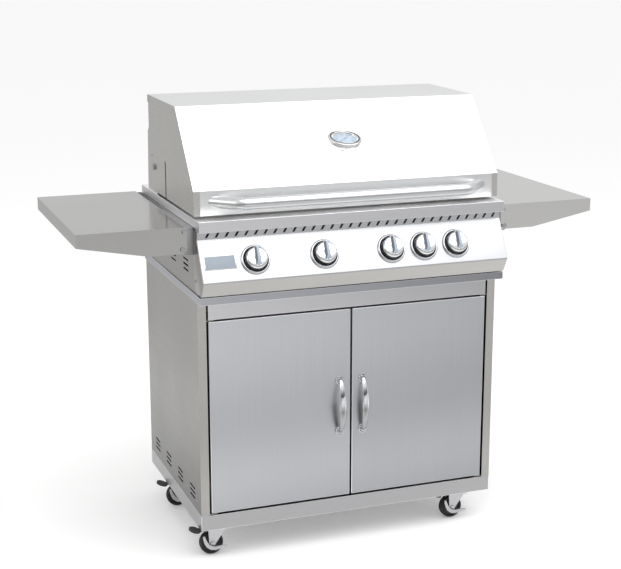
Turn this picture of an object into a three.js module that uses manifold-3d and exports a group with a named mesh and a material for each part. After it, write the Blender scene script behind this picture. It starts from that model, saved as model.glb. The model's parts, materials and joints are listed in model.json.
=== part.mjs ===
// Gas barbecue grill: a free-standing cabinet cart on four swivel casters, a cooking head
// with four main burners and a rear burner, a hinged hood, and two folding side shelves.
// Millimetres, +Z up, +X to the right hand side seen from the front, +Y towards the back.
import * as THREE from "three";
import { mergeVertices } from "three/addons/utils/BufferGeometryUtils.js";
import Module from "manifold-3d";

const wasm = await Module();
wasm.setup();

// ---- driving dimensions ------------------------------------------------------------
const SHEET = 1.5;
const GAP = 0.3;
const HALF_HEAD = 405.5;
const HALF_CART = 404;
const CART_DEPTH = 521;
const ORIGIN_Y = 231.5;

const FLOOR_CLEARANCE = 84;
const SKIRT_TOP = 124;
const DOOR_BOTTOM = 129;
const DOOR_TOP = 630;
const HEADER_BOTTOM = 635;
const RIM_BOTTOM = 682;
const RIM_TOP = 701;
const RIM_OVERHANG = 38;
const RIM_SIDE = 2.5;
const STILE_WIDTH = 22;
const STILE_DEPTH = 20;

const RAIL_TOP = 886;
const RAIL_SKIRT = 20;
const NOSE_HEIGHT = 27;
const NOSE_FRONT = -35;
const RAIL_BACK = 539;
const PANEL_TOP = [-11, 838];
const PANEL_EDGE = [-62.5, 742];
const LIP_EDGE = [-42, 705.5];

const HOOD_BOTTOM = 892;
const HOOD_PROFILE = [[6.2, 892], [7.4, 952.5], [163.8, 1139.5], [434, 1142.5], [447, 1141.5]];
const HOOD_REAR_FLANGE = 20;
const HOOD_STRIP = 16;
const PIVOT = [392, 957];
const PIVOT_RADIUS = 5;
const HOOD_HEEL_RADIUS = 64;

const KNOB_X = [-267, -89, 89, 178, 267];
const BURNER_X = [-267, -89, 89, 267];
const KNOB_RADIUS = 28.5;
const KNOB_SEAT = 9;
const KNOB_DEPTH = 25;
const STEM_RADIUS = 4;
const KNOB_S = 50;

const SHELF_INNER = 422;
const SHELF_OUTER = 690;
const SHELF_KINK = 518;
const SHELF_FRONT = 14;
const SHELF_BACK = 547;
const SHELF_TOP = 867;
const SHELF_THIN = 33;
const SHELF_DEEP = 65;
const SHELF_PIVOT = [432, 812];
const SHELF_LATCH = [428, 855];

const CASTER_X = 340;
const CASTER_Y = [48, 385];
const CASTER_TRAIL = 27;
const WHEEL_RADIUS = 31.5;
const WHEEL_WIDTH = 22;
const AXLE_RADIUS = 4;

// ---- materials ---------------------------------------------------------------------
const COLORS = {
  stainless: [0xc4c3c0, 0.32, 0.9],
  stainless_dark: [0x8f8d8a, 0.4, 0.85],
  chrome: [0xe2e4e6, 0.08, 1.0],
  zinc: [0xa9abae, 0.35, 0.9],
  aluminised: [0x9c9c9a, 0.5, 0.8],
  cast_iron: [0x2b2b2c, 0.75, 0.4],
  porcelain: [0x35353a, 0.45, 0.2],
  ceramic: [0xb9a98f, 0.9, 0.0],
  brass: [0xb08d4a, 0.35, 0.9],
  black_plastic: [0x1c1c1d, 0.55, 0.0],
  tyre: [0x141415, 0.8, 0.0],
  badge: [0x8d97a6, 0.35, 0.5],
};

const material = (slot) => {
  const [color, roughness, metalness] = COLORS[slot];
  return new THREE.MeshStandardMaterial({ color, roughness, metalness });
};

// ---- booleans ----------------------------------------------------------------------
const toSolid = (geometry) => {
  const bare = geometry.clone();
  bare.deleteAttribute("normal");
  bare.deleteAttribute("uv");
  const merged = mergeVertices(bare, 1e-4);
  const mesh = new wasm.Mesh({
    numProp: 3,
    vertProperties: Float32Array.from(merged.attributes.position.array),
    triVerts: Uint32Array.from(merged.index.array),
  });
  return new wasm.Manifold(mesh);
};

const SLIVER = 0.01;

const fromSolid = (solid) => {
  const mesh = solid.simplify(SLIVER).getMesh();
  const geometry = new THREE.BufferGeometry();
  const points = [];
  for (let i = 0; i < mesh.vertProperties.length; i += mesh.numProp) {
    points.push(mesh.vertProperties[i], mesh.vertProperties[i + 1], mesh.vertProperties[i + 2]);
  }
  geometry.setAttribute("position", new THREE.Float32BufferAttribute(points, 3));
  geometry.setIndex(Array.from(mesh.triVerts));
  geometry.computeVertexNormals();
  return geometry;
};

const join = (...list) => fromSolid(list.map(toSolid).reduce((a, b) => a.add(b)));
const cut = (base, ...tools) => {
  const joined = tools.map(toSolid).reduce((a, b) => a.add(b));
  return fromSolid(toSolid(base).subtract(joined));
};

// ---- shape helpers -----------------------------------------------------------------
const slab = (x0, x1, y0, y1, z0, z1) => {
  const box = new THREE.BoxGeometry(x1 - x0, y1 - y0, z1 - z0);
  return box.translate((x0 + x1) / 2, (y0 + y1) / 2, (z0 + z1) / 2);
};

const polygon = (points) => new THREE.Shape(points.map(([a, b]) => new THREE.Vector2(a, b)));

const prism = (shape, depth, steps = 6) => {
  return new THREE.ExtrudeGeometry(shape, { depth, bevelEnabled: false, curveSegments: steps });
};

const alongZ = (shape, z0, z1) => prism(shape, z1 - z0).translate(0, 0, z0);

// A shape drawn as (y, z) and extruded from x0 to x1.
const alongX = (shape, x0, x1, steps) => {
  const body = prism(shape, x1 - x0, steps);
  body.applyMatrix4(new THREE.Matrix4().set(0, 0, 1, x0, 1, 0, 0, 0, 0, 1, 0, 0, 0, 0, 0, 1));
  return body;
};

// A shape drawn as (x, z) and extruded from y0 to y1.
const alongY = (shape, y0, y1, steps) => {
  const body = prism(shape, y1 - y0, steps);
  body.applyMatrix4(new THREE.Matrix4().set(1, 0, 0, 0, 0, 0, -1, y1, 0, 1, 0, 0, 0, 0, 0, 1));
  return body;
};

// Closed outline of a folded sheet that follows the points, thickened to its left side.
const foldedOutline = (points, thickness) => {
  const path = points.map(([a, b]) => new THREE.Vector2(a, b));
  const normals = [];
  for (let i = 0; i < path.length - 1; i += 1) {
    const along = path[i + 1].clone().sub(path[i]).normalize();
    normals.push(new THREE.Vector2(-along.y, along.x));
  }
  const inner = path.map((point, i) => {
    const before = normals[Math.max(i - 1, 0)];
    const after = normals[Math.min(i, normals.length - 1)];
    const mitre = before.clone().add(after).normalize();
    return point.clone().addScaledVector(mitre, thickness / mitre.dot(after));
  });
  return new THREE.Shape([...path, ...inner.reverse()]);
};

const rodX = (radius, x0, x1, y, z, sides = 12) => {
  const rod = new THREE.CylinderGeometry(radius, radius, x1 - x0, sides);
  return rod.rotateZ(Math.PI / 2).translate((x0 + x1) / 2, y, z);
};

const rodY = (radius, y0, y1, x, z, sides = 12) => {
  const rod = new THREE.CylinderGeometry(radius, radius, y1 - y0, sides);
  return rod.translate(x, (y0 + y1) / 2, z);
};

const rodZ = (radius, z0, z1, x, y, sides = 12) => {
  const rod = new THREE.CylinderGeometry(radius, radius, z1 - z0, sides);
  return rod.rotateX(Math.PI / 2).translate(x, y, (z0 + z1) / 2);
};

// Turned part: (radius, height) pairs about +Z, starting and ending on the axis.
const turned = (pairs, sides) => {
  const profile = pairs.map(([r, h]) => new THREE.Vector2(r, h));
  return new THREE.LatheGeometry(profile, sides).rotateX(Math.PI / 2);
};

const mirrorX = (geometry) => fromSolid(toSolid(geometry).mirror([1, 0, 0]));

// ---- control panel frame: origin on the lower edge, u along X, s up the panel, n outwards
const panelUp = new THREE.Vector3(0, PANEL_TOP[0] - PANEL_EDGE[0], PANEL_TOP[1] - PANEL_EDGE[1])
  .normalize();
const panelOut = new THREE.Vector3(1, 0, 0).cross(panelUp);
const onPanel = (x, s) => {
  const frame = new THREE.Matrix4().makeBasis(new THREE.Vector3(1, 0, 0), panelUp, panelOut);
  const at = new THREE.Vector3(x, PANEL_EDGE[0], PANEL_EDGE[1]).addScaledVector(panelUp, s);
  return frame.setPosition(at);
};

// ---- hood slope frame ----------------------------------------------------------------
const slopeLow = new THREE.Vector3(0, ...HOOD_PROFILE[1]);
const slopeHigh = new THREE.Vector3(0, ...HOOD_PROFILE[2]);
const slopeUp = slopeHigh.clone().sub(slopeLow).normalize();
const slopeOut = new THREE.Vector3(1, 0, 0).cross(slopeUp);
const GAUGE_ALONG = 103;
const onSlope = () => {
  const frame = new THREE.Matrix4().makeBasis(new THREE.Vector3(1, 0, 0), slopeUp, slopeOut);
  return frame.setPosition(slopeLow.clone().addScaledVector(slopeUp, GAUGE_ALONG));
};
const GAUGE_RADIUS = 43.5;
const GAUGE_FOOT = 40;
const GAUGE_TILT = (18 * Math.PI) / 180;
const gaugeFacing = new THREE.Vector3(0, -Math.sin(GAUGE_TILT), Math.cos(GAUGE_TILT));
const gaugeUp = gaugeFacing.clone().cross(new THREE.Vector3(1, 0, 0));
const GAUGE_OFF = GAUGE_FOOT * Math.sin(gaugeFacing.angleTo(slopeOut)) + 0.5;
const onGauge = () => {
  const frame = new THREE.Matrix4().makeBasis(new THREE.Vector3(1, 0, 0), gaugeUp, gaugeFacing);
  const foot = slopeLow.clone().addScaledVector(slopeUp, GAUGE_ALONG);
  return frame.setPosition(foot.addScaledVector(slopeOut, GAUGE_OFF));
};

// ---- cart ----------------------------------------------------------------------------
const TANK_CENTRE = [-150, 265];
const TANK_RING = 116;
const PLATE_HALF = 30;
const PLATE_THICK = 4;
const BOSS_RADIUS = 15;
const BOSS_HEIGHT = 4;
const TRAY_SHEET = 2;

const cartBase = () => {
  const pan = cut(
    slab(-HALF_CART, HALF_CART, 0, CART_DEPTH, FLOOR_CLEARANCE, SKIRT_TOP),
    slab(-HALF_CART + TRAY_SHEET, HALF_CART - TRAY_SHEET, TRAY_SHEET, CART_DEPTH - TRAY_SHEET,
      FLOOR_CLEARANCE + TRAY_SHEET, SKIRT_TOP + 1),
  );
  const [tx, ty] = TANK_CENTRE;
  const ringShape = new THREE.Shape().absarc(tx, ty, TANK_RING + 3, 0, Math.PI * 2, false);
  ringShape.holes.push(new THREE.Path().absarc(tx, ty, TANK_RING, 0, Math.PI * 2, true));
  const ring = prism(ringShape, 24, 12).translate(0, 0, FLOOR_CLEARANCE + 1);
  const pieces = [pan, ring];
  for (const x of [-CASTER_X, CASTER_X]) {
    for (const y of CASTER_Y) {
      const low = FLOOR_CLEARANCE - PLATE_THICK;
      pieces.push(slab(x - PLATE_HALF, x + PLATE_HALF, y - PLATE_HALF, y + PLATE_HALF,
        low, FLOOR_CLEARANCE + 1));
      pieces.push(rodZ(BOSS_RADIUS, low - BOSS_HEIGHT, low + 1, x, y));
    }
  }
  return join(...pieces);
};

const LOUVRE_LENGTH = 48;
const LOUVRE_HEIGHT = 5;
const LOUVRE_STEP = 13;
const LOUVRE_PITCH = 120;
const LOUVRE_ROWS = 3;
const LOUVRE_GROUPS = 4;

// Three short slots one above the other, in four groups from front to back.
const louvreTools = (side, firstY, topZ) => {
  const tools = [];
  for (let group = 0; group < LOUVRE_GROUPS; group += 1) {
    for (let row = 0; row < LOUVRE_ROWS; row += 1) {
      const y = firstY + group * LOUVRE_PITCH;
      const z = topZ - row * LOUVRE_STEP;
      tools.push(slab(side - 8, side + 8, y - LOUVRE_LENGTH / 2, y + LOUVRE_LENGTH / 2,
        z - LOUVRE_HEIGHT / 2, z + LOUVRE_HEIGHT / 2));
    }
  }
  return tools;
};

const DOOR_AXIS = [370, 9];
const DOOR_PIN = 3;
const PIN_CLEARANCE = 0.4;
const TAB_THICK = 1.5;
const LOUVRE_FIRST_LOW = 79.5;
const LOUVRE_TOP_LOW = 178;

const sidePanelLeft = () => {
  const low = SKIRT_TOP + GAP;
  const high = RIM_BOTTOM - GAP;
  const back = CART_DEPTH - TRAY_SHEET;
  const inner = -HALF_CART + STILE_WIDTH;
  const outline = foldedOutline([
    [-HALF_CART + 16, back], [-HALF_CART, back], [-HALF_CART, 0], [inner, 0], [inner, STILE_DEPTH],
  ], SHEET);
  const wall = alongZ(outline, low, high);
  const tabLow = slab(inner - SHEET, -DOOR_AXIS[0] + 8, TRAY_SHEET, STILE_DEPTH - 2,
    low + 1.7, low + 1.7 + TAB_THICK);
  const tabHigh = slab(inner - SHEET, -DOOR_AXIS[0] + 8, TRAY_SHEET, STILE_DEPTH - 2,
    DOOR_TOP + 2, DOOR_TOP + 2 + TAB_THICK);
  const holes = rodZ(DOOR_PIN + PIN_CLEARANCE, low - 5, high, -DOOR_AXIS[0], DOOR_AXIS[1]);
  const slots = louvreTools(-HALF_CART, LOUVRE_FIRST_LOW, LOUVRE_TOP_LOW);
  return cut(join(wall, tabLow, tabHigh), holes, ...slots);
};

const REAR_PANEL_BACK = CART_DEPTH - TRAY_SHEET - SHEET - GAP;

const cartRearPanel = () => {
  const half = HALF_CART - TRAY_SHEET - GAP;
  const sheet = slab(-half, half, REAR_PANEL_BACK - SHEET, REAR_PANEL_BACK,
    FLOOR_CLEARANCE + TRAY_SHEET + GAP, RIM_BOTTOM - GAP);
  const tools = [];
  for (let row = 0; row < 5; row += 1) {
    for (const x of [-180, 180]) {
      const z = 520 + row * 18;
      tools.push(slab(x - 90, x + 90, REAR_PANEL_BACK - 9, REAR_PANEL_BACK + 9, z - 3, z + 3));
    }
  }
  return cut(sheet, ...tools);
};

const HEADER_HALF = 377;

const frontHeader = () => {
  const high = RIM_BOTTOM - GAP;
  const flange = STILE_DEPTH + GAP;
  const channel = alongX(foldedOutline([
    [STILE_DEPTH - 2, HEADER_BOTTOM], [0, HEADER_BOTTOM], [0, high], [flange + SHEET, high],
  ].reverse(), SHEET), -HEADER_HALF, HEADER_HALF);
  const fixing = slab(-HALF_CART + 14, HALF_CART - 14, flange, flange + SHEET, high - 30, high);
  return join(channel, fixing);
};

const cartRim = () => {
  const half = HALF_CART + RIM_SIDE;
  const back = CART_DEPTH + 2;
  return cut(
    slab(-half, half, -RIM_OVERHANG, back, RIM_BOTTOM, RIM_TOP),
    slab(-half + 22, half - 22, STILE_DEPTH + 4, back - 22, RIM_BOTTOM - 1, RIM_TOP + 1),
    slab(-half + SHEET, half - SHEET, -RIM_OVERHANG + SHEET, back - SHEET,
      RIM_BOTTOM + SHEET, RIM_TOP - SHEET),
  );
};

// ---- doors ---------------------------------------------------------------------------
const DOOR_OUTER = 376.7;
const DOOR_INNER = 2.5;
const DOOR_THICK = 20;
const PIN_LENGTH = 4;

const doorLeft = () => {
  const skin = cut(
    slab(-DOOR_OUTER, -DOOR_INNER, 0, DOOR_THICK, DOOR_BOTTOM, DOOR_TOP),
    slab(-DOOR_OUTER + SHEET, -DOOR_INNER - SHEET, SHEET, DOOR_THICK + 1,
      DOOR_BOTTOM + SHEET, DOOR_TOP - SHEET),
  );
  const [ax, ay] = [-DOOR_AXIS[0], DOOR_AXIS[1]];
  const low = rodZ(DOOR_PIN, DOOR_BOTTOM - PIN_LENGTH, DOOR_BOTTOM + 12, ax, ay);
  const high = rodZ(DOOR_PIN, DOOR_TOP - 12, DOOR_TOP + PIN_LENGTH, ax, ay);
  return join(skin, low, high);
};

const HANDLE_X = 31;
const HANDLE_Z = 375;
const HANDLE_SPREAD = 140;
const HANDLE_REACH = 30;
const HANDLE_ROSE = 12;

// Arched bar, widest in the middle, on two round roses.
const doorHandle = (x) => {
  const bar = new THREE.CylinderGeometry(1, 1, HANDLE_SPREAD, 10, 10).rotateX(Math.PI / 2);
  const position = bar.attributes.position;
  for (let i = 0; i < position.count; i += 1) {
    const t = position.getZ(i) / (HANDLE_SPREAD / 2);
    const fall = 1 - t * t;
    const halfWidth = 4.5 + 5 * fall;
    const halfThick = 4 + 1.5 * fall;
    const out = 7 + (HANDLE_REACH - 12) * Math.sqrt(Math.max(fall, 0));
    position.setX(i, position.getX(i) * halfWidth);
    position.setY(i, position.getY(i) * halfThick - out);
  }
  bar.translate(x, -GAP, HANDLE_Z);
  const parts = [bar];
  for (const side of [-1, 1]) {
    const z = HANDLE_Z + side * (HANDLE_SPREAD / 2 - 2);
    parts.push(rodY(HANDLE_ROSE, -5 - GAP, -GAP, x, z, 16));
    parts.push(rodY(5.5, -12, -4, x, z, 10));
  }
  return join(...parts);
};

// ---- casters -------------------------------------------------------------------------
const FORK_TOP = FLOOR_CLEARANCE - PLATE_THICK - BOSS_HEIGHT - GAP;
const FORK_CROWN = 8;
const LEG_THICK = 3;
const LEG_INSIDE = WHEEL_WIDTH / 2 + 2;
const BORE_CLEARANCE = 0.4;

const casterFork = () => {
  const crown = rodZ(22, FORK_TOP - FORK_CROWN, FORK_TOP, 0, 0, 16);
  const reach = slab(-38, 4, -LEG_INSIDE - LEG_THICK, LEG_INSIDE + LEG_THICK,
    FORK_TOP - 5, FORK_TOP - 1);
  const window = slab(-60, -24, -LEG_INSIDE + 1, LEG_INSIDE - 1, FORK_TOP - 6, FORK_TOP + 1);
  const leg = polygon([
    [12, FORK_TOP - 1], [-38, FORK_TOP - 1], [-CASTER_TRAIL - 9, WHEEL_RADIUS + 2],
    [-CASTER_TRAIL - 5, WHEEL_RADIUS - 7], [-CASTER_TRAIL + 5, WHEEL_RADIUS - 7],
    [-CASTER_TRAIL + 10, WHEEL_RADIUS + 2],
  ]);
  const legs = [-1, 1].map((side) => {
    const y0 = side > 0 ? LEG_INSIDE : -LEG_INSIDE - LEG_THICK;
    return alongY(leg, y0, y0 + LEG_THICK);
  });
  const end = LEG_INSIDE + LEG_THICK;
  const axle = rodY(AXLE_RADIUS, -end - 1, end + 1, -CASTER_TRAIL, WHEEL_RADIUS, 10);
  const heads = [-1, 1].map((side) => {
    const y0 = side > 0 ? end - 0.5 : -end - 3;
    return rodY(7, y0, y0 + 3.5, -CASTER_TRAIL, WHEEL_RADIUS, 6);
  });
  return join(cut(join(crown, reach), window), ...legs, axle, ...heads);
};

const casterWheel = () => {
  const half = WHEEL_WIDTH / 2;
  const r = WHEEL_RADIUS;
  const bore = AXLE_RADIUS + BORE_CLEARANCE;
  const profile = [
    [bore, -half - 1], [9, -half - 1], [10, -half + 3], [r - 9, -half + 3], [r - 8, -half],
    [r - 2, -half], [r, -half + 3], [r, half - 3], [r - 2, half], [r - 8, half],
    [r - 9, half - 3], [10, half - 3], [9, half + 1], [bore, half + 1], [bore, -half - 1],
  ].map(([a, b]) => new THREE.Vector2(a, b));
  const wheel = new THREE.LatheGeometry(profile, 20);
  return wheel.translate(-CASTER_TRAIL, 0, WHEEL_RADIUS);
};

const PEDAL_PIVOT = [-27, 66.8];
const PEDAL_TRUNNION = 2.4;
const SHOE = [-47, -41];
const SHOE_LOW = 61.6;

const brakePedal = () => {
  const half = LEG_INSIDE - 2.5;
  const [px, pz] = PEDAL_PIVOT;
  const arm = slab(-60, px, -half, half, pz - 0.6, pz + 1.9);
  const trunnion = rodY(PEDAL_TRUNNION, -LEG_INSIDE + GAP, LEG_INSIDE - GAP, px, pz, 8);
  const shoe = slab(SHOE[0], SHOE[1], -half + 2, half - 2, SHOE_LOW, pz);
  const foot = new THREE.CylinderGeometry(1, 1, 5, 16).rotateX(Math.PI / 2);
  foot.scale(15, 19, 1).rotateY(0.28).translate(-70, 0, pz + 2.7);
  return join(arm, trunnion, shoe, foot);
};

// ---- head ----------------------------------------------------------------------------
const SIDE_OUTER = HALF_HEAD - SHEET - GAP;
const HEAD_SIDE_FRONT = -6;
const HEAD_SIDE_BACK = 533.7;
const LOUVRE_FIRST_HIGH = 99;
const LOUVRE_TOP_HIGH = 770;

const headSideLeft = () => {
  const low = RIM_TOP + GAP;
  const outline = foldedOutline([
    [-SIDE_OUTER + 17, low], [-SIDE_OUTER, low], [-SIDE_OUTER, RAIL_TOP - SHEET - GAP],
  ].reverse(), SHEET);
  const wall = alongY(outline, HEAD_SIDE_FRONT, HEAD_SIDE_BACK);
  return cut(wall, ...louvreTools(-SIDE_OUTER, LOUVRE_FIRST_HIGH, LOUVRE_TOP_HIGH));
};

const TRAY_SLOT_HALF = 196;
const TRAY_SLOT = [702.5, 732];

const headRearPanel = () => {
  const y0 = HEAD_SIDE_BACK + GAP;
  return cut(
    slab(-SIDE_OUTER, SIDE_OUTER, y0, y0 + SHEET, RIM_TOP + GAP, RAIL_TOP - SHEET - GAP),
    slab(-TRAY_SLOT_HALF, TRAY_SLOT_HALF, y0 - 5, y0 + 5, TRAY_SLOT[0], TRAY_SLOT[1]),
  );
};

const OPEN_X = 372;
const OPEN_Y = [26, 466];

const topRail = () => {
  const top = RAIL_TOP;
  const low = top - RAIL_SKIRT;
  const h = HALF_HEAD;
  const noseBack = PANEL_TOP[0] + SHEET;
  const ring = cut(
    slab(-h, h, NOSE_FRONT, RAIL_BACK, low, top),
    slab(-h + SHEET, h - SHEET, NOSE_FRONT + SHEET, RAIL_BACK - SHEET, low - 1, top - SHEET),
    slab(-OPEN_X, OPEN_X, OPEN_Y[0], OPEN_Y[1], low - 1, top + 1),
  );
  const noseLow = top - NOSE_HEIGHT;
  const nose = slab(-h, h, NOSE_FRONT, NOSE_FRONT + SHEET, noseLow, low + 1);
  const under = slab(-h, h, NOSE_FRONT, noseBack, noseLow, noseLow + SHEET);
  const cheek = (x) => slab(x, x + SHEET, NOSE_FRONT, noseBack, noseLow, low + 1);
  return join(ring, nose, under, cheek(-h), cheek(h - SHEET));
};

const VENT_COUNT = 32;
const VENT_SPAN = 764;
const VENT_WIDTH = 5;
const VENT_HEIGHT = 11;
const VENT_LEAN = 6.5;
const VENT_Z = 842.5;
const STEM_HOLE = 7;

const controlPanel = () => {
  const vertical = RAIL_TOP - NOSE_HEIGHT - GAP;
  const outer = [[-12, LIP_EDGE[1]], LIP_EDGE, PANEL_EDGE, PANEL_TOP, [PANEL_TOP[0], vertical]];
  const face = alongX(foldedOutline([...outer].reverse(), SHEET), -HALF_HEAD, HALF_HEAD);
  const end = polygon([[15, LIP_EDGE[1]], ...outer.slice(1), [15, vertical]]);
  const ends = [-HALF_HEAD, HALF_HEAD - SHEET].map((x) => alongX(end, x, x + SHEET));
  const tools = [];
  for (let i = 0; i < VENT_COUNT; i += 1) {
    const x = -VENT_SPAN / 2 + (VENT_SPAN * i) / (VENT_COUNT - 1);
    const slot = polygon([
      [x - VENT_WIDTH / 2, VENT_Z], [x + VENT_WIDTH / 2, VENT_Z],
      [x + VENT_WIDTH / 2 + VENT_LEAN, VENT_Z + VENT_HEIGHT],
      [x - VENT_WIDTH / 2 + VENT_LEAN, VENT_Z + VENT_HEIGHT],
    ]);
    tools.push(alongY(slot, PANEL_TOP[0] - 5, PANEL_TOP[0] + 5));
  }
  for (const x of KNOB_X) {
    const drill = rodZ(STEM_HOLE, -8, 8, 0, 0, 12);
    tools.push(drill.applyMatrix4(onPanel(x, KNOB_S)));
  }
  return cut(join(face, ...ends), ...tools);
};

const BADGE_X = [-396, -316];
const BADGE_S = [32, 68];

const badgePlate = () => {
  const plate = slab(0, BADGE_X[1] - BADGE_X[0], 0, BADGE_S[1] - BADGE_S[0], GAP, GAP + 2);
  return plate.applyMatrix4(onPanel(BADGE_X[0], BADGE_S[0]));
};

const STEM_IN = -20;
const STEM_OUT = 22;
const COLLAR_IN = -10.5;

const valveStem = (x) => {
  const stem = rodZ(STEM_RADIUS, STEM_IN, STEM_OUT, 0, 0, 10);
  const collar = rodZ(STEM_RADIUS + 2, COLLAR_IN, COLLAR_IN + 4, 0, 0, 10);
  return join(stem, collar).applyMatrix4(onPanel(x, KNOB_S));
};

const GRIP_HALF = 5.5;
const GRIP_HEIGHT = 9;

const knob = (x) => {
  const back = KNOB_SEAT;
  const front = KNOB_SEAT + KNOB_DEPTH;
  const r = KNOB_RADIUS;
  const bore = STEM_RADIUS + GAP;
  const deep = STEM_OUT + GAP;
  const body = turned([
    [0, deep], [bore, deep], [bore, back], [r - 2, back], [r, back + 2],
    [r - 0.8, front - 6], [r - 6, front], [0, front],
  ], 24);
  const grip = new THREE.CylinderGeometry(1, 1, GRIP_HEIGHT + 3, 14).rotateX(Math.PI / 2);
  grip.scale(GRIP_HALF, r - 2.5, 1).translate(0, 0, front + GRIP_HEIGHT / 2 - 1.5);
  return join(body, grip).applyMatrix4(onPanel(x, KNOB_S));
};

// ---- gas train -----------------------------------------------------------------------
const MANIFOLD_N = -48;
const MANIFOLD_RADIUS = 11;
const VALVE_HALF = 12;
const INLET_X = 322;
const HANGER_X = [-178, 0];

const gasManifold = () => {
  const pipe = rodX(MANIFOLD_RADIUS, -300, 330, 0, 0, 16).translate(0, 0, MANIFOLD_N);
  const blocks = KNOB_X.map((x) => {
    return slab(x - VALVE_HALF, x + VALVE_HALF, -VALVE_HALF, VALVE_HALF, MANIFOLD_N + 4, -15);
  });
  const hangers = HANGER_X.map((x) => {
    return slab(x - 8, x + 8, -6, 6, MANIFOLD_N + 6, -SHEET - GAP);
  });
  const bores = KNOB_X.map((x) => rodZ(STEM_RADIUS + 0.5, -30, -10, x, 0, 14));
  const inlet = rodZ(8, -40, 0, INLET_X, 0, 12).translate(0, 0, MANIFOLD_N);
  const train = cut(join(pipe, ...blocks, ...hangers, inlet), ...bores);
  return train.applyMatrix4(onPanel(0, KNOB_S));
};

const FIREBOX_X = 368;
const FIREBOX_Y = [30, 462];
const FIREBOX_FLANGE = 10;
const WALL_LOW = 770;
const SUMP_LOW = 735;
const SUMP_HALF = 66;
const BURNER_Z = 779;
const BURNER_RADIUS = 12.5;
const TAMER_LEDGE = 806;
const GRATE_LEDGE = 858;
const LEDGE_WIDTH = 12;
const HANGER_HALF = 193.5;

const firebox = () => {
  const rim = RAIL_TOP + GAP;
  const x = FIREBOX_X;
  const section = (grow, top) => polygon([
    [-x + grow, top], [-x + grow, WALL_LOW + grow], [-SUMP_HALF, SUMP_LOW + grow],
    [SUMP_HALF, SUMP_LOW + grow], [x - grow, WALL_LOW + grow], [x - grow, top],
  ]);
  const t = TRAY_SHEET;
  const outer = alongY(section(0, rim + t), FIREBOX_Y[0], FIREBOX_Y[1]);
  const inner = alongY(section(t, rim + t + 1), FIREBOX_Y[0] + t, FIREBOX_Y[1] - t);
  const flange = cut(
    slab(-x - 12, x + 12, FIREBOX_Y[0] - FIREBOX_FLANGE, FIREBOX_Y[1] + FIREBOX_FLANGE,
      rim, rim + t),
    slab(-x + t, x - t, FIREBOX_Y[0] + t, FIREBOX_Y[1] - t, rim - 1, rim + t + 1),
  );
  const outlet = slab(-SUMP_HALF, SUMP_HALF, 60, FIREBOX_Y[1] - 30, SUMP_LOW - 5, SUMP_LOW + 8);
  const holes = BURNER_X.map((bx) => {
    return rodY(BURNER_RADIUS + 2, FIREBOX_Y[0] - 5, FIREBOX_Y[0] + 5, bx, BURNER_Z, 18);
  });
  const ledges = [TAMER_LEDGE, GRATE_LEDGE].flatMap((z) => [
    slab(-x + 1, x - 1, FIREBOX_Y[0] + 1, FIREBOX_Y[0] + t + LEDGE_WIDTH, z - t, z),
    slab(-x + 1, x - 1, FIREBOX_Y[1] - t - LEDGE_WIDTH, FIREBOX_Y[1] - 1, z - t, z),
  ]);
  const runners = [-1, 1].map((side) => {
    const outline = foldedOutline([
      [side * HANGER_HALF, SUMP_LOW + 16], [side * HANGER_HALF, 703], [side * 181, 703],
    ], side * SHEET);
    return alongY(outline, 70, FIREBOX_Y[1] - 8);
  });
  return join(cut(join(outer, flange), inner, outlet, ...holes), ...ledges, ...runners);
};

const burnerSet = () => {
  const tubes = BURNER_X.map((x) => {
    return rodY(BURNER_RADIUS, 18, FIREBOX_Y[1] - TRAY_SHEET - GAP, x, BURNER_Z, 18);
  });
  const cross = rodX(6, BURNER_X[0], BURNER_X[3], 90, BURNER_Z, 10);
  return join(...tubes, cross);
};

const TAMER_HALF = 34;
const TAMER_RISE = 26;

const tamerRack = () => {
  const y0 = FIREBOX_Y[0] + TRAY_SHEET + 1;
  const y1 = FIREBOX_Y[1] - TRAY_SHEET - 1;
  const low = TAMER_LEDGE + GAP;
  const tents = BURNER_X.map((x) => {
    const outline = foldedOutline([
      [x + TAMER_HALF, low + 1], [x, low + TAMER_RISE], [x - TAMER_HALF, low + 1],
    ], SHEET);
    return alongY(outline, y0, y1);
  });
  const bars = [y0, y1 - 8].map((y) => slab(-FIREBOX_X + 6, FIREBOX_X - 6, y, y + 8, low, low + 3));
  return join(...tents, ...bars);
};

const GRATE_BARS = 17;
const GRATE_FRAME = 9;
const GRATE_SLOT = 11.5;
const GRATE_THICK = 8;

const cookingGrate = (side) => {
  const x0 = side < 0 ? -FIREBOX_X + TRAY_SHEET + 2 : 1;
  const x1 = side < 0 ? -1 : FIREBOX_X - TRAY_SHEET - 2;
  const y0 = FIREBOX_Y[0] + TRAY_SHEET + 1.5;
  const y1 = FIREBOX_Y[1] - TRAY_SHEET - 1.5;
  const low = GRATE_LEDGE + GAP;
  const pitch = (x1 - x0 - 2 * GRATE_FRAME) / GRATE_BARS;
  const rows = [[y0 + GRATE_FRAME + 4, y1 - GRATE_FRAME - 4]];
  const slots = [];
  for (let i = 0; i < GRATE_BARS; i += 1) {
    const left = x0 + GRATE_FRAME + i * pitch + (pitch - GRATE_SLOT) / 2;
    for (const [a, b] of rows) {
      slots.push(slab(left, left + GRATE_SLOT, a, b, low - 1, low + GRATE_THICK + 1));
    }
  }
  return cut(slab(x0, x1, y0, y1, low, low + GRATE_THICK), ...slots);
};

const RACK_X = 345;
const RACK_Y = [262, 404];
const RACK_Z = 985;
const RACK_FRAME = 6;
const RACK_PITCH = 22.5;
const RACK_SLOT = 17.5;
const RACK_LEG = 5;

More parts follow.
